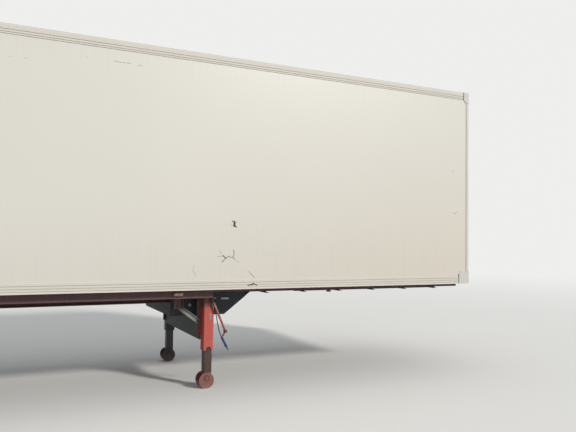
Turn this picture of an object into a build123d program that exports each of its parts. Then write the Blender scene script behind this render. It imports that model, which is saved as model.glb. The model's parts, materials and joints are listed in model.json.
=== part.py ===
from build123d import *
import os
from math import radians, sqrt, tan

# Insulated box semi-trailer, parked on its landing legs.
# +X points to the front, +Y to the left-hand side, +Z up. The origin is on the
# ground, below the middle of the overall length. All sizes are in millimetres.

os.makedirs("parts", exist_ok=True)

# Overall sizes
LENGTH = 13600
WIDTH = 2600
HEIGHT = 4000
BODY_BOTTOM = 1220
FRONT_FITTINGS = 60
REAR_BUFFERS = 60

FRONT = LENGTH / 2 - FRONT_FITTINGS
REAR = -LENGTH / 2 + REAR_BUFFERS
HALF_WIDTH = WIDTH / 2

# Insulated panels and the extrusions that frame them
SIDE_WALL = 60
FRONT_WALL = 80
ROOF_THICKNESS = 80
FLOOR_THICKNESS = 120
ROOF_DROP = 5
CAP_PROUD = 3
RAIL_PROUD = 6
BOTTOM_RAIL_HEIGHT = 110
TOP_RAIL_HEIGHT = 108
RAIL_GROOVE = 6
RAIL_GROOVE_DEPTH = 4
RAIL_EDGE_RADIUS = 18
CORNER_POST_WIDTH = 55
CORNER_RADIUS = 20

RAIL_OUTER = HALF_WIDTH - CAP_PROUD
WALL_OUTER = RAIL_OUTER - RAIL_PROUD
WALL_INNER = WALL_OUTER - SIDE_WALL
RAIL_INNER = WALL_INNER
FRONT_RAIL = FRONT - CAP_PROUD
FRONT_FACE = FRONT_RAIL - RAIL_PROUD
FRONT_INNER = FRONT_FACE - FRONT_WALL
BOTTOM_RAIL_TOP = BODY_BOTTOM + BOTTOM_RAIL_HEIGHT
TOP_RAIL_BOTTOM = HEIGHT - TOP_RAIL_HEIGHT
FLOOR_TOP = BODY_BOTTOM + FLOOR_THICKNESS
ROOF_TOP = HEIGHT - ROOF_DROP

# Corner castings at the front
TOP_CAP_LENGTH = 104
TOP_CAP_HEIGHT = 153
BOTTOM_CAP_LENGTH = 190
BOTTOM_CAP_HEIGHT = 180
CAP_SLANT = 40
CAP_FRONT_REACH = 130

# Rear frame and doors
REAR_FRAME_DEPTH = 100
REAR_POST_WIDTH = 76
FRAME_SETBACK = 25
DOOR_THICKNESS = 60
DOOR_GAP = 6
DOOR_CENTRE_GAP = 7
HINGE_BACK = 35
HINGE_INSET = 15
HINGE_PIN_RADIUS = 7
HINGE_PIN_CLEARANCE = 0.08
KNUCKLE_RADIUS = 12
KNUCKLE_HEIGHT = 60
KNUCKLE_GAP = 1
HINGE_LUG = 12
STRAP_LIFT = 20
STRAP_THICKNESS = 8
STRAP_LENGTH = 330
HINGE_COUNT = 4
HINGE_END_INSET = 164
LOCK_BAR_RADIUS = 13
LOCK_GROOVE_WIDTH = 60
LOCK_GROOVE_DEPTH = 28
LOCK_BAR_PLACES = (170, 880)
LOCK_BAR_OVERHANG = 45
LOCK_GUIDE_COUNT = 4
LOCK_GUIDE_INSET = 85
CAM_HALF_WIDTH = 17
CAM_HEIGHT = 24
CAM_GAP = 7
KEEPER_GAP = 8
KEEPER_SHEET = 8
KEEPER_PROUD = 8
HANDLE_RISE = 424
HANDLE_LENGTH = 330

DOOR_INNER_EDGE = DOOR_CENTRE_GAP
DOOR_OUTER_EDGE = RAIL_OUTER - REAR_POST_WIDTH - DOOR_GAP
DOOR_BOTTOM = BOTTOM_RAIL_TOP + DOOR_GAP
DOOR_TOP = TOP_RAIL_BOTTOM - DOOR_GAP
HINGE_STEP = (DOOR_TOP - DOOR_BOTTOM - 2 * HINGE_END_INSET) / (HINGE_COUNT - 1)
HINGE_HEIGHTS = [DOOR_BOTTOM + HINGE_END_INSET + n * HINGE_STEP for n in range(HINGE_COUNT)]
GUIDE_STEP = (DOOR_TOP - DOOR_BOTTOM - 2 * LOCK_GUIDE_INSET) / (LOCK_GUIDE_COUNT - 1)
GUIDE_HEIGHTS = [DOOR_BOTTOM + LOCK_GUIDE_INSET + n * GUIDE_STEP for n in range(LOCK_GUIDE_COUNT)]
HANDLE_HEIGHT = DOOR_BOTTOM + HANDLE_RISE
CAM_LEVELS = (
    (DOOR_BOTTOM - LOCK_BAR_OVERHANG, DOOR_BOTTOM - LOCK_BAR_OVERHANG + CAM_HEIGHT),
    (DOOR_TOP + LOCK_BAR_OVERHANG - CAM_HEIGHT, DOOR_TOP + LOCK_BAR_OVERHANG),
)
BODY_REAR_INNER = REAR + REAR_FRAME_DEPTH
HINGE_X = REAR - HINGE_BACK
HINGE_Y = HALF_WIDTH - HINGE_INSET

# Chassis, with distances behind the front of the body
BEAM_Y = 600
FLANGE_WIDTH = 110
FLANGE_THICKNESS = 12
WEB_THICKNESS = 8
NECK_BOTTOM = 1130
BEAM_BOTTOM = 1020
BOGIE_BEAM_BOTTOM = 900
BEAM_FRONT_BACK = 120
BEAM_REAR_INSET = 15
NECK_STEP_BACK = 3235
BOGIE_SLOPE_AHEAD = 1250
BOGIE_SLOPE_RUN = 400
CROSS_MEMBER_HEIGHT = 70
CROSS_MEMBER_WIDTH = 40
CHANNEL_WALL = 5
CROSS_MEMBER_PITCH = 530
CROSS_MEMBER_END = 60
SIDE_RAIL_INSET = 150
SIDE_RAIL_WIDTH = 40
SIDE_RAIL_BOTTOM = 1115
SIDE_RAIL_THIN_BOTTOM = 1178
SIDE_RAIL_WALL = 5
SIDE_RAIL_STEP_BACK = 3841

FLANGE_OUTER = BEAM_Y + FLANGE_WIDTH / 2
FLANGE_INNER = BEAM_Y - FLANGE_WIDTH / 2
CROSS_MEMBER_BOTTOM = BODY_BOTTOM - CROSS_MEMBER_HEIGHT
SIDE_RAIL_OUTER = HALF_WIDTH - SIDE_RAIL_INSET
SIDE_RAIL_INNER = SIDE_RAIL_OUTER - SIDE_RAIL_WIDTH
SIDE_RAIL_STEP_X = FRONT - SIDE_RAIL_STEP_BACK

# Coupling
KINGPIN_BACK = 1600
KINGPIN_NECK_RADIUS = 25.4
KINGPIN_COLLAR_RADIUS = 35.7
KINGPIN_SHANK_RADIUS = 36.5
KINGPIN_SHANK = 33
KINGPIN_NECK = 35
KINGPIN_COLLAR = 16
COUPLER_THICKNESS = 8
COUPLER_REAR_BACK = 2500
COUPLER_NOSE_RUN = 70
KINGPIN_X = FRONT - KINGPIN_BACK

# Landing legs and the frame that carries them
LEG_BACK = 3820
LEG_OUTER = 950
LEG_TUBE = 127
LEG_WALL = 7
LEG_TOP = 1135
LEG_TUBE_BOTTOM = 455
LEG_NOTCH_WIDTH = 66
LEG_NOTCH_HEIGHT = 48
INNER_TUBE = 100
INNER_TUBE_WALL = 8
INNER_TUBE_TOP = 860
INNER_TUBE_BOTTOM = 98
INNER_TUBE_GUIDE = 0.3
GUIDE_COLLAR_HEIGHT = 60
MOUNT_PLATE = 7
MOUNT_PLATE_REAR = 113
MOUNT_PLATE_FRONT = 80
MOUNT_PLATE_BOTTOM = 615
MOUNT_PLATE_TOP = 1105
FOOT_RADIUS = 95
FOOT_WIDTH = 150
FOOT_PLATE = 12
FOOT_SOLE = 12
FOOT_TOP = 182
FOOT_BACK = 20
FOOT_PIN_RADIUS = 17
FOOT_PIN_Z = 121
FOOT_PIN_HEAD_RADIUS = 27
FOOT_PIN_HEAD = 6
SUPPORT_PLATE = 8
SUPPORT_BOTTOM = 853
SUPPORT_REAR_BACK = 4228
SUPPORT_SLOPE_LOW_BACK = 3522
SUPPORT_SLOPE_HIGH = 1074
SUPPORT_FLANGE = 60
CROSS_SHAFT_RADIUS = 17
CROSS_SHAFT_Z = 935
SHAFT_HOLE_CLEARANCE = 8
LEG_PANEL_BOTTOM = 575
LEG_PANEL_REAR = 80
LEG_PANEL_DEPTH = 150
LEG_PANEL_SHEET = 6

LEG_X = FRONT - LEG_BACK
LEG_Y = LEG_OUTER - LEG_TUBE / 2
LEG_INNER_FACE = LEG_OUTER - LEG_TUBE
FOOT_X = LEG_X - FOOT_BACK
SUPPORT_OUTER = FLANGE_OUTER + SUPPORT_PLATE
MOUNT_PLATE_INNER = LEG_INNER_FACE - MOUNT_PLATE

# Running gear
AXLE_SPACING = 1310
KINGPIN_TO_MIDDLE_AXLE = 7700
TYRE_RADIUS = 525
TYRE_WIDTH = 385
TYRE_WIDEST_DROP = 109.7
TYRE_CENTRE_Y = 1045
BEAD_RADIUS = 288
BEAD_HALF_WIDTH = 148
RIM_GAP = 0.3
SPINDLE_RADIUS = 40
SPINDLE_CLEARANCE = 0.3
AXLE_RADIUS = 63.5
MIDDLE_AXLE_X = KINGPIN_X - KINGPIN_TO_MIDDLE_AXLE
AXLES = {
    "front": MIDDLE_AXLE_X + AXLE_SPACING,
    "middle": MIDDLE_AXLE_X,
    "rear": MIDDLE_AXLE_X - AXLE_SPACING,
}


# Braces, crank and cable beside the legs
BRACE_HANGER_BACK = 353
BRACE_HANGER_WIDTH = 106
BRACE_HANGER_DEPTH = 45
BRACE_HANGER_BOTTOM = 962
BRACE_SHEET = 6
BRACE_WIDTH = 58
BRACE_LIP = 30
BRACE_LAP = 25
BRACE_FOOT_Z = 792
CRANK_X = LEG_X + 28
CRANK_Z = 1072
CRANK_HUB_RADIUS = 31
CRANK_HUB_LENGTH = 14
CRANK_STUB_RADIUS = 16
CRANK_STUB_LENGTH = 45
CRANK_ARM_RADIUS = 13
CRANK_RUN = 170
CRANK_DROP = 386
CRANK_KNOB_RADIUS = 19
CRANK_KNOB_LENGTH = 44
CRANK_GRIP_RADIUS = 11
CRANK_GRIP_BACK = 34
CRANK_GRIP_DROP = 62
CABLE_DIAMETER = 12
CABLE_Y = 50 - LEG_OUTER
CABLE_ROUTE = [
    (LEG_X + 91, CABLE_Y, 1075), (LEG_X + 91, CABLE_Y, 975), (LEG_X + 112, CABLE_Y, 865),
    (LEG_X + 133, CABLE_Y, 757), (LEG_X + 159, CABLE_Y, 650), (LEG_X + 184, CABLE_Y, 603),
]
CABLE_CLIP = 14
CABLE_CLIP_HEIGHT = 22
CONNECTOR_LENGTH = 150
CONNECTOR_RADIUS = 14
CONNECTOR_NOSE = 40
CONNECTOR_NOSE_RADIUS = 8

# Axles, springs and brakes
BRAKE_PLATE_Y = 904
BRAKE_PLATE = 8
BRAKE_PLATE_RADIUS = 205
SPINDLE_END = TYRE_CENTRE_Y + 130
ARM_PIVOT_AHEAD = 500
ARM_PIVOT_Z = 640
ARM_WIDTH = 90
ARM_HEIGHT = 45
ARM_SEAT_HALF = 90
ARM_EYE_RADIUS = 34
ARM_BOLT_RADIUS = 20
ARM_BOLT_END = 15
ARM_BOLT_CLEARANCE = 0.2
ARM_TAIL = 18
HANGER_HALF_WIDTH = 55
HANGER_SHEET = 8
HANGER_TOP_HALF = 150
HANGER_LOW_HALF = 60
BAG_BEHIND = 385
BAG_SEAT_Z = 610
BAG_PISTON = 60
BAG_PISTON_RADIUS = 85
BAG_RADIUS = 145
CHAMBER_Y = 380
CHAMBER_Z = 690
CHAMBER_AHEAD = 90
CHAMBER_RADIUS = 85
CHAMBER_LENGTH = 80
PARK_CHAMBER_RADIUS = 70
PARK_CHAMBER_LENGTH = 120
CHAMBER_BRACKET = 12

# Disc wheel: closed outlines as (outward, radius) from the wheel's centre
DISC_BACK = 60
DISC_FACE = 104
HUB_RADIUS = 140
DRUM_RADIUS = 215
DRUM_BACK = -135
NUT_CIRCLE_RADIUS = 167.5
NUT_COUNT = 10
NUT_RADIUS = 17
NUT_HEIGHT = 22
HAND_HOLE_CIRCLE_RADIUS = 222
HAND_HOLE_COUNT = 8
HAND_HOLE_RADIUS = 25
RIM_EDGE = BEAD_HALF_WIDTH + RIM_GAP
RIM_SEAT = BEAD_RADIUS - RIM_GAP
SPINDLE_BORE = SPINDLE_RADIUS + SPINDLE_CLEARANCE
RIM_SECTIONS = (
    (
        (-RIM_EDGE - 10, 268), (RIM_EDGE + 10, 268), (RIM_EDGE + 10, 300), (RIM_EDGE, 300),
        (RIM_EDGE, RIM_SEAT), (-RIM_EDGE, RIM_SEAT), (-RIM_EDGE, 300), (-RIM_EDGE - 10, 300),
    ),
    (
        (DISC_BACK, 270), (DISC_BACK + 16, 270), (DISC_FACE, 192), (DISC_FACE, HUB_RADIUS - 5),
        (DISC_FACE - 14, HUB_RADIUS - 5), (DISC_FACE - 14, 188),
    ),
    (
        (-60, SPINDLE_BORE), (-60, 80), (DISC_FACE - 14, 80), (DISC_FACE - 14, HUB_RADIUS),
        (DISC_FACE + 8, HUB_RADIUS), (DISC_FACE + 8, 86), (160, 78), (160, 0), (140, 0),
        (140, SPINDLE_BORE),
    ),
    (
        (DRUM_BACK, DRUM_RADIUS), (35, DRUM_RADIUS), (35, 78), (21, 78),
        (21, DRUM_RADIUS - 14), (DRUM_BACK, DRUM_RADIUS - 14),
    ),
)

# Guards, rear panel and small fittings
GUARD_CLEARANCE = 45
GUARD_RADIUS = TYRE_RADIUS + GUARD_CLEARANCE
GUARD_SHEET = 5
GUARD_WIDTH = 410
GUARD_OVERLAP = 5.5
GUARD_LOW = 180
GUARD_STAY_RADIUS = 12
FLAP_SHEET = 6
FLAP_BOTTOM = 260
UNDERRUN_X = REAR + 160
UNDERRUN_BOTTOM = 430
UNDERRUN_INSET = 100
UNDERRUN_DEPTH = 100
UNDERRUN_HEIGHT = 110
UNDERRUN_ARM_WIDTH = 80
UNDERRUN_ARM_RAKE = 60
UNDERRUN_ARM_LENGTH = 200
REAR_PANEL_INSET = 55
REAR_PANEL_BOTTOM = 980
PLATE_HALF = 260
REAR_LAMP_Z = 1090
REAR_LAMP_GAP = 85
REAR_LAMP_LENGTH = 390
REAR_LAMP_HEIGHT = 130
REAR_LAMP_DEPTH = 42
BUFFER_TOP = 1200
BUFFER_HEIGHT = 200
BUFFER_WIDTH = 90
BUFFER_INSET = 70
TANK_GAP = 50
TANK_Z = 985
TANK_RADIUS = 130
TANK_HALF_LENGTH = 480
TANK_END_RADIUS = 45
TANK_STRAP_Y = 300
MARKER_BEHIND_LEG = 449
MARKER_REAR_INSET = 420
MARKER_Z = 1167
MARKER_LENGTH = 118
MARKER_HEIGHT = 40
MARKER_CORNER = 16
MARKER_DEPTH = 30
COUPLING_Z = 1475
COUPLING_PLATE_LENGTH = 620
COUPLING_PLATE_HEIGHT = 170
COUPLING_PLATE = 8
AIR_COUPLING_Y = 240
AIR_COUPLING_RADIUS = 36
AIR_COUPLING_NECK = 26
AIR_COUPLING_HEAD = 20
SOCKET_SPACING = 120
SOCKET_RADIUS = 38
SOCKET_LENGTH = 40

GUARD_OUTER = TYRE_CENTRE_Y + TYRE_WIDTH / 2 + GUARD_OVERLAP
UNDERRUN_HALF = HALF_WIDTH - UNDERRUN_INSET
REAR_PANEL_HALF = HALF_WIDTH - REAR_PANEL_INSET
BUFFER_Y = REAR_PANEL_HALF - BUFFER_INSET
REAR_LAMP_Y = BUFFER_Y - BUFFER_WIDTH / 2 - REAR_LAMP_GAP - REAR_LAMP_LENGTH / 2
HANGER_X = LEG_X - BRACE_HANGER_BACK
MARKER_FIRST = LEG_X - MARKER_BEHIND_LEG
MARKER_LAST = REAR + MARKER_REAR_INSET
MARKER_XS = (MARKER_FIRST, (MARKER_FIRST + MARKER_LAST) / 2, MARKER_LAST)
MEMBERS_BEHIND = int((HANGER_X - REAR - CROSS_MEMBER_END) / CROSS_MEMBER_PITCH)
MEMBERS_AHEAD = int((FRONT - BEAM_FRONT_BACK - CROSS_MEMBER_END - HANGER_X) / CROSS_MEMBER_PITCH)
CROSS_MEMBER_XS = [
    HANGER_X - CROSS_MEMBER_WIDTH / 2 + number * CROSS_MEMBER_PITCH
    for number in range(-MEMBERS_BEHIND, MEMBERS_AHEAD + 1)
]
TANK_FRONT = AXLES["rear"] - BAG_BEHIND - BAG_RADIUS - TANK_GAP
TANK_XS = [
    x + CROSS_MEMBER_WIDTH / 2 for x in CROSS_MEMBER_XS if x < TANK_FRONT - TANK_RADIUS
][-2:]


def block(x0, x1, y0, y1, z0, z1, mode=Mode.ADD):
    """A box between two corners, in the part being built."""
    with Locations(((x0 + x1) / 2, (y0 + y1) / 2, (z0 + z1) / 2)):
        Box(x1 - x0, y1 - y0, z1 - z0, mode=mode)


def rod(start, end, radius, mode=Mode.ADD):
    """A round bar from start to end, in the part being built."""
    a, b = Vector(*start), Vector(*end)
    with BuildSketch(Plane(origin=a, z_dir=b - a)) as circle:
        Circle(radius)
    extrude(circle.sketch, amount=(b - a).length, mode=mode)


def slab(plane, points, thickness, both=False, mode=Mode.ADD):
    """A flat-sided outline on a plane, given thickness, in the part being built."""
    with BuildSketch(plane) as outline:
        with BuildLine():
            Polyline(*points, close=True)
        make_face()
    extrude(outline.sketch, amount=thickness, both=both, mode=mode)


def save(part, name):
    """Label a finished piece and write its STEP file."""
    part.label = name
    export_step(part, f"parts/{name}.step")


# Load space: floor, walls and roof
with BuildPart() as floor:
    block(BODY_REAR_INNER, FRONT_INNER, -WALL_INNER, WALL_INNER, BODY_BOTTOM, FLOOR_TOP)
save(floor.part, "floor")

with BuildPart() as roof:
    block(
        BODY_REAR_INNER, FRONT_INNER, -RAIL_INNER, RAIL_INNER,
        ROOF_TOP - ROOF_THICKNESS, ROOF_TOP,
    )
save(roof.part, "roof")

for side, name in ((-1, "side_wall_right"), (1, "side_wall_left")):
    with BuildPart() as side_wall:
        block(
            BODY_REAR_INNER, FRONT - CORNER_POST_WIDTH,
            *sorted((side * WALL_INNER, side * WALL_OUTER)),
            BOTTOM_RAIL_TOP, TOP_RAIL_BOTTOM,
        )
    save(side_wall.part, name)

with BuildPart() as front_wall:
    block(FRONT_INNER, FRONT_FACE, -WALL_INNER, WALL_INNER, BOTTOM_RAIL_TOP, TOP_RAIL_BOTTOM)
save(front_wall.part, "front_wall")


# Grooved aluminium rails along the sides and across the front, and the front corner posts
BOTTOM_GROOVES = (24, 52, 82)
TOP_GROOVES = (18, 46)


def rail(start, outward, along, length, height, grooves):
    """A rail whose grooved face looks outward, in the part being built."""
    depth = RAIL_OUTER - RAIL_INNER
    plane = Plane(origin=start, x_dir=outward, z_dir=along)
    upward = plane.y_dir.Z
    with BuildSketch(plane) as section:
        with Locations((depth / 2, upward * height / 2)):
            Rectangle(depth, height)
        for groove in grooves:
            with Locations((depth - RAIL_GROOVE_DEPTH / 2, upward * groove)):
                Rectangle(RAIL_GROOVE_DEPTH, RAIL_GROOVE, mode=Mode.SUBTRACT)
    extrude(section.sketch, amount=length)


with BuildPart() as body_rails:
    rail(
        (BODY_REAR_INNER, -RAIL_INNER, BODY_BOTTOM), (0, -1, 0), (1, 0, 0),
        FRONT - BOTTOM_CAP_LENGTH - BODY_REAR_INNER, BOTTOM_RAIL_HEIGHT, BOTTOM_GROOVES,
    )
    rail(
        (BODY_REAR_INNER, -RAIL_INNER, TOP_RAIL_BOTTOM), (0, -1, 0), (1, 0, 0),
        FRONT - TOP_CAP_LENGTH - BODY_REAR_INNER, TOP_RAIL_HEIGHT, TOP_GROOVES,
    )
    block(
        FRONT - CORNER_POST_WIDTH, FRONT_RAIL, -RAIL_OUTER, -WALL_INNER,
        BODY_BOTTOM + BOTTOM_CAP_HEIGHT, HEIGHT - TOP_CAP_HEIGHT,
    )
    post_edges = body_rails.edges().filter_by(Axis.Z).filter_by(
        lambda e: e.center().X > FRONT_RAIL - 1 and e.center().Y < 1 - RAIL_OUTER
    )
    fillet(post_edges, CORNER_RADIUS)
    mirror(about=Plane.XZ)
    front_rail_x = FRONT_RAIL - RAIL_OUTER + RAIL_INNER
    front_rail_end = HALF_WIDTH - CAP_FRONT_REACH
    for low, height, grooves in (
        (BODY_BOTTOM, BOTTOM_RAIL_HEIGHT, BOTTOM_GROOVES),
        (TOP_RAIL_BOTTOM, TOP_RAIL_HEIGHT, TOP_GROOVES),
    ):
        rail(
            (front_rail_x, -front_rail_end, low), (1, 0, 0), (0, 1, 0),
            2 * front_rail_end, height, grooves,
        )
    outer_edges = body_rails.edges().filter_by(
        lambda e: e.center().Z > HEIGHT - 1
        and (abs(e.center().Y) > RAIL_OUTER - 1 or e.center().X > FRONT_RAIL - 1)
    )
    fillet(outer_edges, RAIL_EDGE_RADIUS)
save(body_rails.part, "body_rails")


# Castings that close the corners where rails and posts meet
def corner_cap(length, height, z_plain, up):
    """A wrap-round casting from the plain edge z_plain, up (1) or down (-1), right-hand corner."""
    skin = CAP_PROUD + RAIL_PROUD
    outline = [
        (0, 0), (length, 0), (length, height - CAP_SLANT),
        (length - CAP_SLANT, height), (0, height),
    ]
    side = [(FRONT - u, z_plain + up * v) for u, v in outline]
    slab(Plane(origin=(0, -HALF_WIDTH + skin, 0), x_dir=(1, 0, 0), z_dir=(0, -1, 0)), side, skin)
    reach = [
        (0, 0), (CAP_FRONT_REACH, 0), (CAP_FRONT_REACH, height - CAP_SLANT),
        (CAP_FRONT_REACH - CAP_SLANT, height), (0, height),
    ]
    front = [(u - HALF_WIDTH, z_plain + up * v) for u, v in reach]
    slab(Plane(origin=(FRONT - skin, 0, 0), x_dir=(0, 1, 0), z_dir=(1, 0, 0)), front, skin)
    rail_height = BOTTOM_RAIL_HEIGHT if up > 0 else TOP_RAIL_HEIGHT
    levels = sorted((z_plain, z_plain + up * rail_height))
    block(FRONT - length, FRONT - skin, -WALL_OUTER, -WALL_INNER, *levels)
    block(FRONT_INNER, FRONT - skin, -WALL_INNER, CAP_FRONT_REACH - HALF_WIDTH, *levels)
    levels = sorted((z_plain, z_plain + up * height))
    block(FRONT - CORNER_POST_WIDTH, FRONT - skin, -WALL_OUTER, -WALL_INNER, *levels)


with BuildPart() as corner_caps:
    corner_cap(BOTTOM_CAP_LENGTH, BOTTOM_CAP_HEIGHT, BODY_BOTTOM, 1)
    corner_cap(TOP_CAP_LENGTH, TOP_CAP_HEIGHT, HEIGHT, -1)
    corners = corner_caps.edges().filter_by(Axis.Z).filter_by(
        lambda e: e.center().X > FRONT - 1 and e.center().Y < 1 - HALF_WIDTH
    )
    fillet(corners, CORNER_RADIUS)
    mirror(about=Plane.XZ)
save(corner_caps.part, "corner_caps")

# Rear frame: posts, header and sill, with lugs and a pin for each hinge and a keeper for
# each end of a lock bar
with BuildPart() as rear_frame:
    block(REAR, BODY_REAR_INNER, -RAIL_OUTER, RAIL_OUTER, BODY_BOTTOM, HEIGHT)
    block(
        REAR, BODY_REAR_INNER, -RAIL_OUTER + REAR_POST_WIDTH, RAIL_OUTER - REAR_POST_WIDTH,
        BOTTOM_RAIL_TOP, TOP_RAIL_BOTTOM, mode=Mode.SUBTRACT,
    )
    for low, high in ((BODY_BOTTOM, BOTTOM_RAIL_TOP), (TOP_RAIL_BOTTOM, HEIGHT)):
        block(
            REAR, REAR + FRAME_SETBACK, -DOOR_OUTER_EDGE, DOOR_OUTER_EDGE,
            low, high, mode=Mode.SUBTRACT,
        )
    for height in HINGE_HEIGHTS:
        reach = KNUCKLE_HEIGHT / 2 + KNUCKLE_GAP
        for low in (height - reach - HINGE_LUG, height + reach):
            with BuildSketch(Plane.XY.offset(low)):
                with Locations((HINGE_X, -HINGE_Y)):
                    Circle(KNUCKLE_RADIUS)
                with Locations(((HINGE_X + REAR) / 2, -HINGE_Y)):
                    Rectangle(HINGE_BACK, 2 * KNUCKLE_RADIUS)
            extrude(amount=HINGE_LUG)
        rod(
            (HINGE_X, -HINGE_Y, height - reach - HINGE_LUG),
            (HINGE_X, -HINGE_Y, height + reach + HINGE_LUG), HINGE_PIN_RADIUS,
        )
    cheek = CAM_HALF_WIDTH + KEEPER_GAP
    for place in LOCK_BAR_PLACES:
        for low, high in CAM_LEVELS:
            for y in (-place - cheek - KEEPER_SHEET, -place + cheek):
                block(REAR - KEEPER_PROUD, REAR + FRAME_SETBACK, y, y + KEEPER_SHEET, low, high)
    mirror(about=Plane.XZ)
save(rear_frame.part, "rear_frame")

# Rear doors: leaf with lock-bar grooves, hinge straps, and lock bars with a cam at each end
for side, name in ((-1, "door_right"), (1, "door_left")):
    with BuildPart() as leaf:
        block(
            REAR, REAR + DOOR_THICKNESS,
            *sorted((side * DOOR_INNER_EDGE, side * DOOR_OUTER_EDGE)), DOOR_BOTTOM, DOOR_TOP,
        )
        for place in LOCK_BAR_PLACES:
            block(
                REAR, REAR + LOCK_GROOVE_DEPTH,
                side * place - LOCK_GROOVE_WIDTH / 2, side * place + LOCK_GROOVE_WIDTH / 2,
                DOOR_BOTTOM, DOOR_TOP, mode=Mode.SUBTRACT,
            )
    save(leaf.part, name)

    with BuildPart() as hardware:
        strap_back = HINGE_X + STRAP_LIFT
        for height in HINGE_HEIGHTS:
            low = height - KNUCKLE_HEIGHT / 2
            with BuildSketch(Plane.XY.offset(low)):
                with Locations((HINGE_X, side * HINGE_Y)):
                    Circle(KNUCKLE_RADIUS)
                with Locations((HINGE_X + (STRAP_LIFT + STRAP_THICKNESS) / 2, side * HINGE_Y)):
                    Rectangle(STRAP_LIFT + STRAP_THICKNESS, 2 * KNUCKLE_RADIUS)
                strap_end = HINGE_Y - STRAP_LENGTH
                with Locations((
                    strap_back + STRAP_THICKNESS / 2, side * (HINGE_Y + strap_end) / 2,
                )):
                    Rectangle(STRAP_THICKNESS, STRAP_LENGTH)
                pad_back = strap_back + STRAP_THICKNESS
                pad_edge = DOOR_OUTER_EDGE
                with Locations(((pad_back + REAR) / 2, side * (pad_edge + strap_end) / 2)):
                    Rectangle(REAR - pad_back, pad_edge - strap_end)
                with Locations((HINGE_X, side * HINGE_Y)):
                    Circle(HINGE_PIN_RADIUS + HINGE_PIN_CLEARANCE, mode=Mode.SUBTRACT)
            extrude(amount=KNUCKLE_HEIGHT)
        for place in LOCK_BAR_PLACES:
            rod(
                (REAR, side * place, DOOR_BOTTOM - LOCK_BAR_OVERHANG),
                (REAR, side * place, DOOR_TOP + LOCK_BAR_OVERHANG), LOCK_BAR_RADIUS,
            )
            for low, high in CAM_LEVELS:
                block(
                    REAR - LOCK_BAR_RADIUS, REAR + FRAME_SETBACK - CAM_GAP,
                    side * place - CAM_HALF_WIDTH, side * place + CAM_HALF_WIDTH, low, high,
                )
            for height in GUIDE_HEIGHTS:
                block(
                    REAR - LOCK_BAR_RADIUS, REAR + LOCK_GROOVE_DEPTH,
                    side * place - LOCK_GROOVE_WIDTH / 2, side * place + LOCK_GROOVE_WIDTH / 2,
                    height - 20, height + 20,
                )
            block(
                REAR - LOCK_BAR_RADIUS, REAR - 1,
                *sorted((side * (place - 15), side * (place + HANDLE_LENGTH))),
                HANDLE_HEIGHT - 14, HANDLE_HEIGHT + 14,
            )
    save(hardware.part, name + "_hardware")


# Main beams with a step down behind the neck and a deeper stretch over the axles, where
# hanger brackets carry the trailing arms
BEAM_FRONT = FRONT - BEAM_FRONT_BACK
BEAM_REAR = REAR + BEAM_REAR_INSET
STEP_X = FRONT - NECK_STEP_BACK
SLOPE_LOW_X = FRONT - SUPPORT_SLOPE_LOW_BACK
SLOPE_RUN = (STEP_X - SLOPE_LOW_X) / (SUPPORT_SLOPE_HIGH - SUPPORT_BOTTOM)
BOGIE_SLOPE_LOW = AXLES["front"] + BOGIE_SLOPE_AHEAD
BEAM_OUTLINE = [
    (BEAM_REAR, BODY_BOTTOM),
    (BEAM_FRONT, BODY_BOTTOM),
    (BEAM_FRONT, NECK_BOTTOM),
    (STEP_X - SLOPE_RUN * (SUPPORT_SLOPE_HIGH - NECK_BOTTOM), NECK_BOTTOM),
    (STEP_X - SLOPE_RUN * (SUPPORT_SLOPE_HIGH - BEAM_BOTTOM), BEAM_BOTTOM),
    (BOGIE_SLOPE_LOW + BOGIE_SLOPE_RUN, BEAM_BOTTOM),
    (BOGIE_SLOPE_LOW, BOGIE_BEAM_BOTTOM),
    (BEAM_REAR, BOGIE_BEAM_BOTTOM),
]
SIDE_VIEW = Plane(origin=(0, -BEAM_Y, 0), x_dir=(1, 0, 0), z_dir=(0, -1, 0))

with BuildPart() as main_beams:
    with BuildSketch(SIDE_VIEW) as flanges:
        with BuildLine():
            Polyline(*BEAM_OUTLINE, close=True)
        make_face()
        with BuildSketch(SIDE_VIEW, mode=Mode.PRIVATE) as inner:
            with BuildLine():
                Polyline(*BEAM_OUTLINE, close=True)
            make_face()
            offset(amount=-FLANGE_THICKNESS, kind=Kind.INTERSECTION)
        add(inner.sketch_local, mode=Mode.SUBTRACT)
    extrude(amount=FLANGE_WIDTH / 2, both=True)
    slab(SIDE_VIEW, BEAM_OUTLINE, WEB_THICKNESS / 2, both=True)
    for x in AXLES.values():
        pivot_x = x + ARM_PIVOT_AHEAD
        hanger = [
            (pivot_x - HANGER_TOP_HALF, BOGIE_BEAM_BOTTOM),
            (pivot_x + HANGER_TOP_HALF, BOGIE_BEAM_BOTTOM),
            (pivot_x + HANGER_LOW_HALF, ARM_PIVOT_Z - HANGER_LOW_HALF),
            (pivot_x - HANGER_LOW_HALF, ARM_PIVOT_Z - HANGER_LOW_HALF),
        ]
        for y in (-BEAM_Y - HANGER_HALF_WIDTH, -BEAM_Y + HANGER_HALF_WIDTH - HANGER_SHEET):
            slab(
                Plane(origin=(0, y + HANGER_SHEET, 0), x_dir=(1, 0, 0), z_dir=(0, -1, 0)),
                hanger, HANGER_SHEET,
            )
        bolt_half = HANGER_HALF_WIDTH + ARM_BOLT_END
        rod(
            (pivot_x, -BEAM_Y - bolt_half, ARM_PIVOT_Z), (pivot_x, -BEAM_Y + bolt_half, ARM_PIVOT_Z),
            ARM_BOLT_RADIUS,
        )
    mirror(about=Plane.XZ)
save(main_beams.part, "main_beams")

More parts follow.
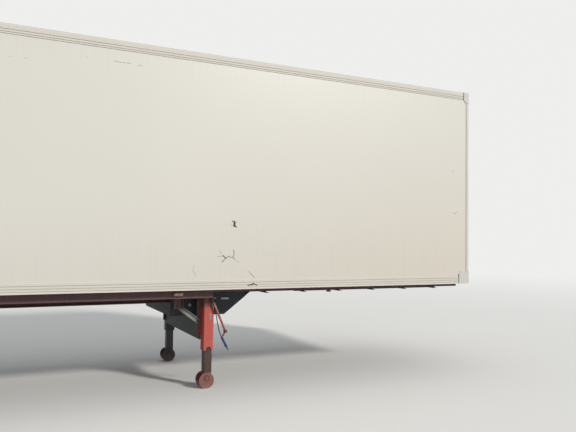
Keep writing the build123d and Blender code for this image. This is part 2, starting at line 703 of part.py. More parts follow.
# Cross-members between the beams, and side rails on outriggers. The rails are deep behind
# the legs and thin in front of them.
CHANNEL = [
    (0, 0), (CROSS_MEMBER_WIDTH, 0), (CROSS_MEMBER_WIDTH, CHANNEL_WALL),
    (CHANNEL_WALL, CHANNEL_WALL), (CHANNEL_WALL, CROSS_MEMBER_HEIGHT - CHANNEL_WALL),
    (CROSS_MEMBER_WIDTH, CROSS_MEMBER_HEIGHT - CHANNEL_WALL),
    (CROSS_MEMBER_WIDTH, CROSS_MEMBER_HEIGHT), (0, CROSS_MEMBER_HEIGHT),
]


def channels(start, end):
    """The cross-members' stretch from one y to another, in the part being built."""
    ends = [
        Plane(origin=(x, end, CROSS_MEMBER_BOTTOM), x_dir=(1, 0, 0), z_dir=(0, -1, 0))
        for x in CROSS_MEMBER_XS
    ]
    with BuildSketch(*ends) as section:
        with BuildLine():
            Polyline(*CHANNEL, close=True)
        make_face()
    extrude(section.sketch, amount=end - start)


with BuildPart() as cross_members:
    channels(-FLANGE_INNER, FLANGE_INNER)
save(cross_members.part, "cross_members")

with BuildPart() as side_rails:
    channels(-SIDE_RAIL_INNER, -FLANGE_OUTER)
    for x0, x1, low in (
        (BEAM_REAR, SIDE_RAIL_STEP_X, SIDE_RAIL_BOTTOM),
        (SIDE_RAIL_STEP_X, BEAM_FRONT, SIDE_RAIL_THIN_BOTTOM),
    ):
        rail_section = [
            (0, low), (SIDE_RAIL_WIDTH, low), (SIDE_RAIL_WIDTH, low + SIDE_RAIL_WALL),
            (SIDE_RAIL_WALL, low + SIDE_RAIL_WALL),
            (SIDE_RAIL_WALL, BODY_BOTTOM - SIDE_RAIL_WALL),
            (SIDE_RAIL_WIDTH, BODY_BOTTOM - SIDE_RAIL_WALL),
            (SIDE_RAIL_WIDTH, BODY_BOTTOM), (0, BODY_BOTTOM),
        ]
        section = [(inward - SIDE_RAIL_OUTER, z) for inward, z in rail_section]
        slab(Plane(origin=(x0, 0, 0), x_dir=(0, 1, 0), z_dir=(1, 0, 0)), section, x1 - x0)
    mirror(about=Plane.XZ)
save(side_rails.part, "side_rails")

# Coupler plate under the neck, with the kingpin
COUPLER_FRONT = BEAM_FRONT
COUPLER_BOTTOM = NECK_BOTTOM - COUPLER_THICKNESS
with BuildPart() as coupler_plate:
    block(
        FRONT - COUPLER_REAR_BACK, COUPLER_FRONT, -FLANGE_OUTER, FLANGE_OUTER,
        COUPLER_BOTTOM, NECK_BOTTOM,
    )
    nose = [
        (COUPLER_FRONT, COUPLER_BOTTOM), (COUPLER_FRONT + COUPLER_NOSE_RUN, BODY_BOTTOM),
        (COUPLER_FRONT + COUPLER_NOSE_RUN - COUPLER_THICKNESS, BODY_BOTTOM),
        (COUPLER_FRONT, NECK_BOTTOM),
    ]
    nose_side = Plane(origin=(0, FLANGE_OUTER, 0), x_dir=(1, 0, 0), z_dir=(0, -1, 0))
    slab(nose_side, nose, 2 * FLANGE_OUTER)
    top = COUPLER_BOTTOM
    for radius, height in (
        (KINGPIN_SHANK_RADIUS, KINGPIN_SHANK), (KINGPIN_NECK_RADIUS, KINGPIN_NECK),
        (KINGPIN_COLLAR_RADIUS, KINGPIN_COLLAR),
    ):
        rod((KINGPIN_X, 0, top), (KINGPIN_X, 0, top - height), radius)
        top -= height
save(coupler_plate.part, "coupler_plate")

# Frame that carries the landing legs: side plates, cross plates and wings
SUPPORT_REAR_X = FRONT - SUPPORT_REAR_BACK
WING_XS = (LEG_X - LEG_PANEL_REAR, LEG_X + LEG_PANEL_REAR)
with BuildPart() as leg_support_frame:
    side_outline = [
        (SUPPORT_REAR_X, SUPPORT_BOTTOM), (SLOPE_LOW_X, SUPPORT_BOTTOM),
        (STEP_X, SUPPORT_SLOPE_HIGH), (STEP_X, CROSS_MEMBER_BOTTOM),
        (SUPPORT_REAR_X, CROSS_MEMBER_BOTTOM),
    ]
    outer_plane = Plane(origin=(0, -FLANGE_OUTER, 0), x_dir=(1, 0, 0), z_dir=(0, -1, 0))
    slab(outer_plane, side_outline, SUPPORT_PLATE)
    block(
        SUPPORT_REAR_X, SLOPE_LOW_X, -SUPPORT_OUTER, SUPPORT_FLANGE - SUPPORT_OUTER,
        SUPPORT_BOTTOM, SUPPORT_BOTTOM + SUPPORT_PLATE,
    )
    for x in WING_XS:
        block(
            x - SUPPORT_PLATE / 2, x + SUPPORT_PLATE / 2, -MOUNT_PLATE_INNER, -SUPPORT_OUTER,
            SUPPORT_BOTTOM + 20, LEG_TOP,
        )
    block(
        LEG_X - MOUNT_PLATE_REAR, LEG_X + MOUNT_PLATE_FRONT + 20,
        -MOUNT_PLATE_INNER, SUPPORT_PLATE - MOUNT_PLATE_INNER, SUPPORT_BOTTOM + 20, LEG_TOP,
    )
    rod(
        (LEG_X, -FLANGE_OUTER + 50, CROSS_SHAFT_Z), (LEG_X, -LEG_OUTER, CROSS_SHAFT_Z),
        CROSS_SHAFT_RADIUS + SHAFT_HOLE_CLEARANCE, mode=Mode.SUBTRACT,
    )
    mirror(about=Plane.XZ)
    block(
        SUPPORT_REAR_X, SUPPORT_REAR_X + SUPPORT_PLATE, -FLANGE_OUTER, FLANGE_OUTER,
        SUPPORT_BOTTOM, BEAM_BOTTOM,
    )
    block(
        SLOPE_LOW_X - SUPPORT_PLATE, SLOPE_LOW_X, -FLANGE_OUTER, FLANGE_OUTER,
        SUPPORT_BOTTOM, BEAM_BOTTOM,
    )
save(leg_support_frame.part, "leg_support_frame")

# Landing legs: outer tube with its mounting plate and guide collar, inner tube and rocker
# foot
for side, name in ((-1, "leg_right"), (1, "leg_left")):
    y = side * LEG_Y
    with BuildPart() as outer_tube:
        with BuildSketch(Plane.XY.offset(LEG_TUBE_BOTTOM)):
            with Locations((LEG_X, y)):
                RectangleRounded(LEG_TUBE, LEG_TUBE, 10)
                Rectangle(LEG_TUBE - 2 * LEG_WALL, LEG_TUBE - 2 * LEG_WALL, mode=Mode.SUBTRACT)
        extrude(amount=LEG_TOP - LEG_TUBE_BOTTOM)
        block(
            LEG_X - LEG_TUBE / 2 + LEG_WALL, LEG_X + LEG_TUBE / 2 - LEG_WALL,
            y - LEG_TUBE / 2 + LEG_WALL, y + LEG_TUBE / 2 - LEG_WALL, LEG_TOP - LEG_WALL, LEG_TOP,
        )
        notch_face = Plane(origin=(LEG_X, side * LEG_OUTER, 0), x_dir=(1, 0, 0), z_dir=(0, -1, 0))
        radius = LEG_NOTCH_WIDTH / 2
        with BuildSketch(notch_face) as notch:
            with Locations((0, LEG_TUBE_BOTTOM + (LEG_NOTCH_HEIGHT - radius) / 2)):
                Rectangle(LEG_NOTCH_WIDTH, LEG_NOTCH_HEIGHT - radius)
            with Locations((0, LEG_TUBE_BOTTOM + LEG_NOTCH_HEIGHT - radius)):
                Circle(radius)
        extrude(notch.sketch, amount=2 * LEG_WALL, both=True, mode=Mode.SUBTRACT)
        with BuildSketch(Plane.XY.offset(LEG_TUBE_BOTTOM + LEG_NOTCH_HEIGHT)) as collar:
            with Locations((LEG_X, y)):
                Rectangle(LEG_TUBE - LEG_WALL, LEG_TUBE - LEG_WALL)
                guide = INNER_TUBE + 2 * INNER_TUBE_GUIDE
                RectangleRounded(guide, guide, 8, mode=Mode.SUBTRACT)
        extrude(collar.sketch, amount=GUIDE_COLLAR_HEIGHT)
        block(
            LEG_X - MOUNT_PLATE_REAR, LEG_X + MOUNT_PLATE_FRONT,
            *sorted((side * MOUNT_PLATE_INNER, side * LEG_INNER_FACE)),
            MOUNT_PLATE_BOTTOM, MOUNT_PLATE_TOP,
        )
        if side < 0:
            cable_x, cable_y, cable_z = CABLE_ROUTE[0]
            block(
                LEG_X + LEG_TUBE / 2, cable_x + CABLE_CLIP, cable_y - CABLE_CLIP,
                cable_y + CABLE_CLIP, cable_z, cable_z + CABLE_CLIP_HEIGHT,
            )
    save(outer_tube.part, name + "_outer_tube")

    with BuildPart() as inner_tube:
        foot_side = (FOOT_X, y + FOOT_WIDTH / 2, FOOT_RADIUS)
        upright = Plane(origin=foot_side, x_dir=(1, 0, 0), z_dir=(0, -1, 0))
        with BuildSketch(upright) as disc:
            Circle(FOOT_RADIUS)
            with Locations((0, FOOT_TOP - FOOT_RADIUS + FOOT_RADIUS / 2)):
                Rectangle(2 * FOOT_RADIUS, FOOT_RADIUS, mode=Mode.SUBTRACT)
        extrude(disc.sketch, amount=FOOT_WIDTH)
        with BuildSketch(upright.offset(FOOT_PLATE)) as hollow:
            Circle(FOOT_RADIUS - FOOT_SOLE)
            with Locations((0, FOOT_RADIUS)):
                Rectangle(2 * FOOT_RADIUS, 2 * FOOT_RADIUS)
        extrude(hollow.sketch, amount=FOOT_WIDTH - 2 * FOOT_PLATE, mode=Mode.SUBTRACT)
        with BuildSketch(Plane.XY.offset(INNER_TUBE_BOTTOM)) as tube:
            with Locations((LEG_X, y)):
                RectangleRounded(INNER_TUBE, INNER_TUBE, 8)
                inside = INNER_TUBE - 2 * INNER_TUBE_WALL
                Rectangle(inside, inside, mode=Mode.SUBTRACT)
        extrude(tube.sketch, amount=INNER_TUBE_TOP - INNER_TUBE_BOTTOM)
        pin_x = (LEG_X + FOOT_X) / 2
        rod(
            (pin_x, y - FOOT_WIDTH / 2, FOOT_PIN_Z), (pin_x, y + FOOT_WIDTH / 2, FOOT_PIN_Z),
            FOOT_PIN_RADIUS,
        )
        for face in (-FOOT_WIDTH / 2, FOOT_WIDTH / 2 + FOOT_PIN_HEAD):
            rod(
                (pin_x, y + face, FOOT_PIN_Z), (pin_x, y + face - FOOT_PIN_HEAD, FOOT_PIN_Z),
                FOOT_PIN_HEAD_RADIUS,
            )
    save(inner_tube.part, name + "_inner_tube")

# Leg bracing: diagonal braces from a hanger under the body to each leg's mounting plate,
# and a deep folded cross-member between the two legs
with BuildPart() as leg_bracing:
    brace_y = LEG_INNER_FACE + BRACE_SHEET
    block(
        HANGER_X - BRACE_HANGER_WIDTH / 2, HANGER_X + BRACE_HANGER_WIDTH / 2,
        -brace_y - BRACE_SHEET, -brace_y, BRACE_HANGER_BOTTOM, CROSS_MEMBER_BOTTOM,
    )
    half = BRACE_HANGER_WIDTH / 2
    for x in (HANGER_X - half, HANGER_X + half - BRACE_SHEET):
        block(
            x, x + BRACE_SHEET, -brace_y - BRACE_HANGER_DEPTH, -brace_y,
            BRACE_HANGER_BOTTOM, CROSS_MEMBER_BOTTOM,
        )
    start = Vector(HANGER_X, BRACE_HANGER_BOTTOM + BRACE_WIDTH / 2)
    end = Vector(LEG_X - MOUNT_PLATE_REAR + BRACE_LAP, BRACE_FOOT_Z)
    along = (end - start).normalized()
    across = Vector(-along.Y, along.X) * (BRACE_WIDTH / 2)
    flat = [(p.X, p.Y) for p in (start + across, end + across, end - across, start - across)]
    brace_plane = Plane(origin=(0, -LEG_INNER_FACE, 0), x_dir=(1, 0, 0), z_dir=(0, -1, 0))
    slab(brace_plane, flat, BRACE_SHEET)
    fold = across * (1 - 2 * BRACE_SHEET / BRACE_WIDTH)
    lip = [(p.X, p.Y) for p in (start + across, end + across, end + fold, start + fold)]
    slab(brace_plane, lip, BRACE_LIP)
    mirror(about=Plane.XZ)
    x0 = LEG_X - LEG_PANEL_REAR
    sheet = LEG_PANEL_SHEET
    panel = [
        (x0, LEG_PANEL_BOTTOM), (x0 + LEG_PANEL_DEPTH, LEG_PANEL_BOTTOM),
        (x0 + LEG_PANEL_DEPTH, LEG_PANEL_BOTTOM + sheet), (x0 + sheet, LEG_PANEL_BOTTOM + sheet),
        (x0 + sheet, SUPPORT_BOTTOM - sheet), (x0 + LEG_PANEL_DEPTH, SUPPORT_BOTTOM - sheet),
        (x0 + LEG_PANEL_DEPTH, SUPPORT_BOTTOM), (x0, SUPPORT_BOTTOM),
    ]
    panel_end = Plane(origin=(0, MOUNT_PLATE_INNER, 0), x_dir=(1, 0, 0), z_dir=(0, -1, 0))
    slab(panel_end, panel, 2 * MOUNT_PLATE_INNER)
save(leg_bracing.part, "leg_bracing")

# Leg drive: the shaft between the legs, and the folding crank parked down by the right leg
with BuildPart() as leg_drive:
    rod(
        (LEG_X, -MOUNT_PLATE_INNER, CROSS_SHAFT_Z), (LEG_X, MOUNT_PLATE_INNER, CROSS_SHAFT_Z),
        CROSS_SHAFT_RADIUS,
    )
    face = Vector(CRANK_X, -LEG_OUTER, CRANK_Z)
    pivot = face - Vector(0, CRANK_STUB_LENGTH, 0)
    rod(face, face - Vector(0, CRANK_HUB_LENGTH, 0), CRANK_HUB_RADIUS)
    rod(face, pivot - Vector(0, CRANK_STUB_RADIUS, 0), CRANK_STUB_RADIUS)
    tip = pivot + Vector(CRANK_RUN, 0, -CRANK_DROP)
    knob = Vector(0, CRANK_KNOB_LENGTH / 2, 0)
    rod(pivot, tip, CRANK_ARM_RADIUS)
    rod(tip + knob, tip - knob, CRANK_KNOB_RADIUS)
    rod(tip, tip - Vector(CRANK_GRIP_BACK, 0, CRANK_GRIP_DROP), CRANK_GRIP_RADIUS)
save(leg_drive.part, "leg_drive")

# Cable hanging from the clip on the right leg, and its connector
with BuildPart() as hanging_cable:
    runs = [Vector(*b) - Vector(*a) for a, b in zip(CABLE_ROUTE, CABLE_ROUTE[1:])]
    radii = [
        0.45 * min(one.length, two.length) / tan(radians(one.get_angle(two) / 2))
        for one, two in zip(runs, runs[1:])
    ]
    with BuildLine() as route:
        FilletPolyline(*CABLE_ROUTE, radius=radii)
    with BuildSketch(Plane(origin=CABLE_ROUTE[0], z_dir=runs[0])) as cable_section:
        Circle(CABLE_DIAMETER / 2)
    sweep(cable_section.sketch, path=route.wire())
save(hanging_cable.part, "hanging_cable")

with BuildPart() as cable_connector:
    start = Vector(*CABLE_ROUTE[-1])
    direction = runs[-1].normalized()
    rod(start, start + direction * CONNECTOR_LENGTH, CONNECTOR_RADIUS)
    rod(
        start + direction * CONNECTOR_LENGTH,
        start + direction * (CONNECTOR_LENGTH + CONNECTOR_NOSE), CONNECTOR_NOSE_RADIUS,
    )
save(cable_connector.part, "cable_connector")

# Axles with spindles, brake plates and brake chambers
with BuildPart() as axles:
    for x in AXLES.values():
        rod((x, -BRAKE_PLATE_Y, TYRE_RADIUS), (x, BRAKE_PLATE_Y, TYRE_RADIUS), AXLE_RADIUS)
        rod((x, -SPINDLE_END, TYRE_RADIUS), (x, SPINDLE_END, TYRE_RADIUS), SPINDLE_RADIUS)
        for y in (-BRAKE_PLATE_Y, BRAKE_PLATE_Y - BRAKE_PLATE):
            rod((x, y, TYRE_RADIUS), (x, y + BRAKE_PLATE, TYRE_RADIUS), BRAKE_PLATE_RADIUS)
    for x in AXLES.values():
        for y in (-CHAMBER_Y, CHAMBER_Y):
            start = x + CHAMBER_AHEAD
            joint = start + CHAMBER_LENGTH
            rod((start, y, CHAMBER_Z), (joint, y, CHAMBER_Z), CHAMBER_RADIUS)
            end = joint + PARK_CHAMBER_LENGTH
            rod((joint, y, CHAMBER_Z), (end, y, CHAMBER_Z), PARK_CHAMBER_RADIUS)
            block(
                x, start, y - CHAMBER_BRACKET / 2, y + CHAMBER_BRACKET / 2,
                TYRE_RADIUS + AXLE_RADIUS - 2, CHAMBER_Z + 50,
            )
save(axles.part, "axles")

# Trailing arms from the hangers over the axles to the air springs
with BuildPart() as trailing_arms:
    for x in AXLES.values():
        pivot_x = x + ARM_PIVOT_AHEAD
        bag_x = x - BAG_BEHIND
        axle_top = TYRE_RADIUS + AXLE_RADIUS
        arm = [
            (pivot_x, ARM_PIVOT_Z + ARM_EYE_RADIUS), (x + ARM_SEAT_HALF, axle_top + ARM_HEIGHT),
            (x - ARM_SEAT_HALF, axle_top + ARM_HEIGHT), (bag_x + 60, BAG_SEAT_Z),
            (bag_x - 60, BAG_SEAT_Z), (bag_x - 60, BAG_SEAT_Z - ARM_TAIL),
            (bag_x + 40, BAG_SEAT_Z - ARM_TAIL), (x - ARM_SEAT_HALF, axle_top),
            (x + ARM_SEAT_HALF, axle_top), (pivot_x, ARM_PIVOT_Z - ARM_EYE_RADIUS),
        ]
        arm_side = Plane(origin=(0, -BEAM_Y + ARM_WIDTH / 2, 0), x_dir=(1, 0, 0), z_dir=(0, -1, 0))
        slab(arm_side, arm, ARM_WIDTH)
        eye_ends = [
            (pivot_x, y, ARM_PIVOT_Z) for y in (-BEAM_Y - ARM_WIDTH / 2, -BEAM_Y + ARM_WIDTH / 2)
        ]
        rod(*eye_ends, ARM_EYE_RADIUS)
        rod(*eye_ends, ARM_BOLT_RADIUS + ARM_BOLT_CLEARANCE, mode=Mode.SUBTRACT)
        rod((bag_x, -BEAM_Y, BAG_SEAT_Z), (bag_x, -BEAM_Y, BAG_SEAT_Z + BAG_PISTON), BAG_PISTON_RADIUS)
    mirror(about=Plane.XZ)
save(trailing_arms.part, "trailing_arms")

# Air springs between the arms and the beams
with BuildPart() as air_springs:
    low = BAG_SEAT_Z + BAG_PISTON
    for x in AXLES.values():
        spring = Plane(origin=(x - BAG_BEHIND, -BEAM_Y, 0), x_dir=(1, 0, 0), z_dir=(0, -1, 0))
        with BuildSketch(spring) as profile:
            with BuildLine():
                middle = (low + BOGIE_BEAM_BOTTOM) / 2
                Polyline((90, low), (0, low), (0, BOGIE_BEAM_BOTTOM), (90, BOGIE_BEAM_BOTTOM))
                for end in (BOGIE_BEAM_BOTTOM, low):
                    ThreePointArc((90, end), (BAG_RADIUS, (middle + end) / 2), (110, middle))
            make_face()
        revolve(profile.sketch, axis=Axis((x - BAG_BEHIND, -BEAM_Y, 0), (0, 0, 1)))
    mirror(about=Plane.XZ)
save(air_springs.part, "air_springs")

# Wheels: tyre, and the steel disc wheel with its hub and brake drum
TYRE_SECTION_LOW = BEAD_RADIUS + 16
for axle_name, axle_x in AXLES.items():
    for side, side_name in ((-1, "right"), (1, "left")):
        name = f"wheel_{axle_name}_{side_name}"
        centre = (axle_x, side * TYRE_CENTRE_Y, TYRE_RADIUS)
        outboard = Plane(origin=centre, x_dir=(0, side, 0), z_dir=(-side, 0, 0))
        spin = Axis(centre, (0, side, 0))
        with BuildPart() as tyre:
            with BuildSketch(outboard):
                with BuildLine():
                    half = TYRE_WIDTH / 2
                    Polyline(
                        (-half + 27, TYRE_RADIUS - 20), (-half + 50, TYRE_RADIUS),
                        (half - 50, TYRE_RADIUS), (half - 27, TYRE_RADIUS - 20),
                    )
                    ThreePointArc(
                        (half - 27, TYRE_RADIUS - 20), (half, TYRE_RADIUS - TYRE_WIDEST_DROP),
                        (BEAD_HALF_WIDTH, TYRE_SECTION_LOW),
                    )
                    Polyline(
                        (BEAD_HALF_WIDTH, TYRE_SECTION_LOW), (BEAD_HALF_WIDTH, BEAD_RADIUS),
                        (-BEAD_HALF_WIDTH, BEAD_RADIUS), (-BEAD_HALF_WIDTH, TYRE_SECTION_LOW),
                    )
                    ThreePointArc(
                        (-BEAD_HALF_WIDTH, TYRE_SECTION_LOW), (-half, TYRE_RADIUS - TYRE_WIDEST_DROP),
                        (-half + 27, TYRE_RADIUS - 20),
                    )
                make_face()
            revolve(axis=spin)
        save(tyre.part, name + "_tyre")

        with BuildPart() as rim:
            with BuildSketch(outboard):
                for section in RIM_SECTIONS:
                    with BuildLine():
                        Polyline(*section, close=True)
                    make_face()
            revolve(axis=spin)
            face = Plane(origin=centre, x_dir=(1, 0, 0), z_dir=(0, side, 0))
            with BuildSketch(face.offset(DISC_FACE)):
                with PolarLocations(NUT_CIRCLE_RADIUS, NUT_COUNT):
                    RegularPolygon(NUT_RADIUS, 6)
            extrude(amount=NUT_HEIGHT)
            with BuildSketch(face.offset(DISC_BACK - 10)):
                with PolarLocations(HAND_HOLE_CIRCLE_RADIUS, HAND_HOLE_COUNT):
                    Circle(HAND_HOLE_RADIUS)
            extrude(amount=DISC_FACE - DISC_BACK + 20, mode=Mode.SUBTRACT)
        save(rim.part, name + "_rim")

# Half-round mudguards on stays from the beams, and flaps behind the last wheels
with BuildPart() as mudguards:
    for x in AXLES.values():
        guard = Plane(origin=(x, -GUARD_OUTER, TYRE_RADIUS), x_dir=(1, 0, 0), z_dir=(0, 1, 0))
        with BuildSketch(guard) as ring:
            Circle(GUARD_RADIUS)
            Circle(GUARD_RADIUS - GUARD_SHEET, mode=Mode.SUBTRACT)
            with Locations((0, GUARD_RADIUS)):
                Rectangle(3 * GUARD_RADIUS, 2 * (GUARD_RADIUS + GUARD_LOW), mode=Mode.SUBTRACT)
        extrude(ring.sketch, amount=GUARD_WIDTH)
        stay_z = TYRE_RADIUS + GUARD_RADIUS + GUARD_STAY_RADIUS - 2
        rod(
            (x, -BEAM_Y - WEB_THICKNESS / 2, stay_z), (x, -SIDE_RAIL_INNER + 5, stay_z),
            GUARD_STAY_RADIUS,
        )
    x = AXLES["rear"] - sqrt(GUARD_RADIUS ** 2 - GUARD_LOW ** 2)
    block(
        x - FLAP_SHEET, x, -GUARD_OUTER, -GUARD_OUTER + GUARD_WIDTH,
        FLAP_BOTTOM, TYRE_RADIUS + GUARD_LOW + 60,
    )
    mirror(about=Plane.XZ)
save(mudguards.part, "mudguards")

# Rear underrun bar on two arms
with BuildPart() as underrun_bar:
    underrun_top = UNDERRUN_BOTTOM + UNDERRUN_HEIGHT
    block(
        UNDERRUN_X, UNDERRUN_X + UNDERRUN_DEPTH, -UNDERRUN_HALF, UNDERRUN_HALF,
        UNDERRUN_BOTTOM, underrun_top,
    )
    arm_rear = UNDERRUN_X + UNDERRUN_ARM_RAKE
    arm = [
        (UNDERRUN_X, underrun_top), (UNDERRUN_X + UNDERRUN_DEPTH, underrun_top),
        (arm_rear + UNDERRUN_ARM_LENGTH, BOGIE_BEAM_BOTTOM), (arm_rear, BOGIE_BEAM_BOTTOM),
    ]
    for y in (-BEAM_Y, BEAM_Y):
        arm_side = (0, y + UNDERRUN_ARM_WIDTH / 2, 0)
        slab(Plane(origin=arm_side, x_dir=(1, 0, 0), z_dir=(0, -1, 0)), arm, UNDERRUN_ARM_WIDTH)
save(underrun_bar.part, "underrun_bar")

# Rear panel across the beam ends, with a blank plate holder
with BuildPart() as rear_panel:
    block(REAR, BEAM_REAR, -REAR_PANEL_HALF, REAR_PANEL_HALF, REAR_PANEL_BOTTOM, BODY_BOTTOM)
    block(REAR - 6, REAR, -PLATE_HALF, PLATE_HALF, REAR_LAMP_Z - 60, REAR_LAMP_Z + 60)
    block(REAR - 9, REAR - 6, 6 - PLATE_HALF, PLATE_HALF - 6, REAR_LAMP_Z - 54, REAR_LAMP_Z + 54)
save(rear_panel.part, "rear_panel")

# Lamp clusters on the rear panel and marker lamps along the side rails
with BuildPart() as lamps:
    with BuildSketch(Plane(origin=(REAR, 0, REAR_LAMP_Z), x_dir=(0, -1, 0), z_dir=(-1, 0, 0))):
        with Locations((REAR_LAMP_Y, 0), (-REAR_LAMP_Y, 0)):
            RectangleRounded(REAR_LAMP_LENGTH, REAR_LAMP_HEIGHT, 20)
    extrude(amount=REAR_LAMP_DEPTH)
    fillet(lamps.faces().group_by(Axis.X)[0].edges(), 8)
    for side in (-1, 1):
        for x in MARKER_XS:
            rail_face = Plane(
                origin=(x, side * SIDE_RAIL_OUTER, MARKER_Z), x_dir=(1, 0, 0), z_dir=(0, side, 0)
            )
            with BuildSketch(rail_face):
                RectangleRounded(MARKER_LENGTH, MARKER_HEIGHT, MARKER_CORNER)
            extrude(amount=MARKER_DEPTH)
save(lamps.part, "lamps")

# Rubber buffers on the rear panel
with BuildPart() as buffers:
    outline = [
        (REAR, BUFFER_TOP), (REAR, BUFFER_TOP - BUFFER_HEIGHT),
        (REAR - REAR_BUFFERS, BUFFER_TOP - BUFFER_HEIGHT + 30),
        (REAR - REAR_BUFFERS, BUFFER_TOP - 30),
    ]
    for y in (-BUFFER_Y, BUFFER_Y):
        slab(
            Plane(origin=(0, y + BUFFER_WIDTH / 2, 0), x_dir=(1, 0, 0), z_dir=(0, -1, 0)),
            outline, BUFFER_WIDTH,
        )
save(buffers.part, "buffers")

# Air tanks across the frame behind the axles, in straps under the cross-members
with BuildPart() as air_tanks:
    for x in TANK_XS:
        rod((x, -TANK_HALF_LENGTH, TANK_Z), (x, TANK_HALF_LENGTH, TANK_Z), TANK_RADIUS)
    fillet(air_tanks.edges().filter_by(GeomType.CIRCLE), TANK_END_RADIUS)
    for x in TANK_XS:
        for y in (-TANK_STRAP_Y, TANK_STRAP_Y):
            block(x - 20, x + 20, y - 25, y + 25, TANK_Z + TANK_RADIUS - 3, CROSS_MEMBER_BOTTOM)
save(air_tanks.part, "air_tanks")

# Brake and lighting couplings on a plate low on the front wall
with BuildPart() as front_couplings:
    coupling_face = Plane(origin=(FRONT_FACE, 0, COUPLING_Z), x_dir=(0, 1, 0), z_dir=(1, 0, 0))
    with BuildSketch(coupling_face):
        RectangleRounded(COUPLING_PLATE_LENGTH, COUPLING_PLATE_HEIGHT, 15)
    extrude(amount=COUPLING_PLATE)
    depth = FRONT + FRONT_FITTINGS - FRONT_FACE
    for start, radius, length in (
        (COUPLING_PLATE, AIR_COUPLING_NECK, depth - COUPLING_PLATE - AIR_COUPLING_HEAD),
        (depth - AIR_COUPLING_HEAD, AIR_COUPLING_RADIUS, AIR_COUPLING_HEAD),
    ):
        with BuildSketch(coupling_face.offset(start)):
            with Locations((-AIR_COUPLING_Y, 0), (AIR_COUPLING_Y, 0)):
                Circle(radius)
        extrude(amount=length)
    with BuildSketch(coupling_face.offset(COUPLING_PLATE)):
        with Locations((-SOCKET_SPACING, 0), (0, 0), (SOCKET_SPACING, 0)):
            Circle(SOCKET_RADIUS)
    extrude(amount=SOCKET_LENGTH)
save(front_couplings.part, "front_couplings")
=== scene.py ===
"""Finishes, tyres, seals, fasteners, cable and studio stage for the packed semi-trailer."""

import json
from math import cos, pi, radians, sin

import bmesh
import bpy
from bpy.props import FloatProperty, FloatVectorProperty, IntProperty, PointerProperty
from mathutils import Matrix, Vector


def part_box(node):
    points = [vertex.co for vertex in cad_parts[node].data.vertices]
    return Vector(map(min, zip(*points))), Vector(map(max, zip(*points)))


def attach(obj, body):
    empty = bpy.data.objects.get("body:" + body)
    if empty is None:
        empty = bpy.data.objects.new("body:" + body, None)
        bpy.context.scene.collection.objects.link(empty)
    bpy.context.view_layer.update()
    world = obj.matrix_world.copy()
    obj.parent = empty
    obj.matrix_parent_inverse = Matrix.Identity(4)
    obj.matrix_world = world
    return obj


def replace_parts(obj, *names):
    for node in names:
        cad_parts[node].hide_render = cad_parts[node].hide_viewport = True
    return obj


bl_info = {
    "name": "Insulated Semi-Trailer",
    "version": (1, 0, 0),
    "blender": (4, 5, 0),
    "location": "View3D > Sidebar > Trailer",
    "description": "Dresses a packed semi-trailer with finishes and small fittings",
    "category": "Object",
}

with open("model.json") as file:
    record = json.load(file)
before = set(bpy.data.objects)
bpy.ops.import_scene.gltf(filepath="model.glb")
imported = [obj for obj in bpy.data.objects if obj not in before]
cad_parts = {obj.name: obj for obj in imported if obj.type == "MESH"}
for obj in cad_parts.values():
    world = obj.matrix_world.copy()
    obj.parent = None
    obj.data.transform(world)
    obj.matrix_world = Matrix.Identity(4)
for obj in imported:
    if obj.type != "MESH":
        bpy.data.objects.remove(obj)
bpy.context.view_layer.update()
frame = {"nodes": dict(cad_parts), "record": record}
FINISH = "_finish"

AXLE_NAMES = ("front", "middle", "rear")
SIDES = {"right": -1, "left": 1}
UP = (0, 0, 1)
WHEELS = [f"wheel_{axle}_{side}" for axle in AXLE_NAMES for side in SIDES]


# Places taken from the packed model, in metres
def low(node):
    """A node's lowest corner."""
    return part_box(node)[0]


def high(node):
    """A node's highest corner."""
    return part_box(node)[1]


def centre(node):
    """The middle of a node's box."""
    return (low(node) + high(node)) / 2


FRONT_X = high("corner_caps").x
REAR_X = low("door_right").x
WALL_Y = high("side_wall_left").y
RAIL_Y = high("body_rails").y
BODY_LOW = low("body_rails").z
BODY_HIGH = high("corner_caps").z
CAP_FACE = high("corner_caps").y
WALL_LOW = low("side_wall_left").z
WALL_HIGH = high("side_wall_left").z
KINGPIN_X = FRONT_X - 1.600
PLATE_FACE = low("coupler_plate").z + 0.084
LEG_X = low("leg_left_outer_tube").x + 0.113
LEG_Y = centre("leg_left_inner_tube").y
LEG_OUTER = high("leg_left_outer_tube").y
PLATE_Y = 2 * LEG_Y - LEG_OUTER
HANGER_X = LEG_X - 0.353
FOOT_PIN_X = LEG_X - 0.020
FOOT_PIN_Z = 0.121
BEAM_Y = high("air_springs").y - 0.145
RAIL_FACE = high("side_rails").y
DOOR_LOW = low("door_right").z
DOOR_HIGH = high("door_right").z
HINGE_Y = high("door_left_hardware").y - 0.012
STRAP_X = REAR_X - 0.015
AXLE_Z = centre("wheel_front_right_tyre").z
AXLE_RADIUS = 0.0635
BEAM_LOW = high("air_springs").z


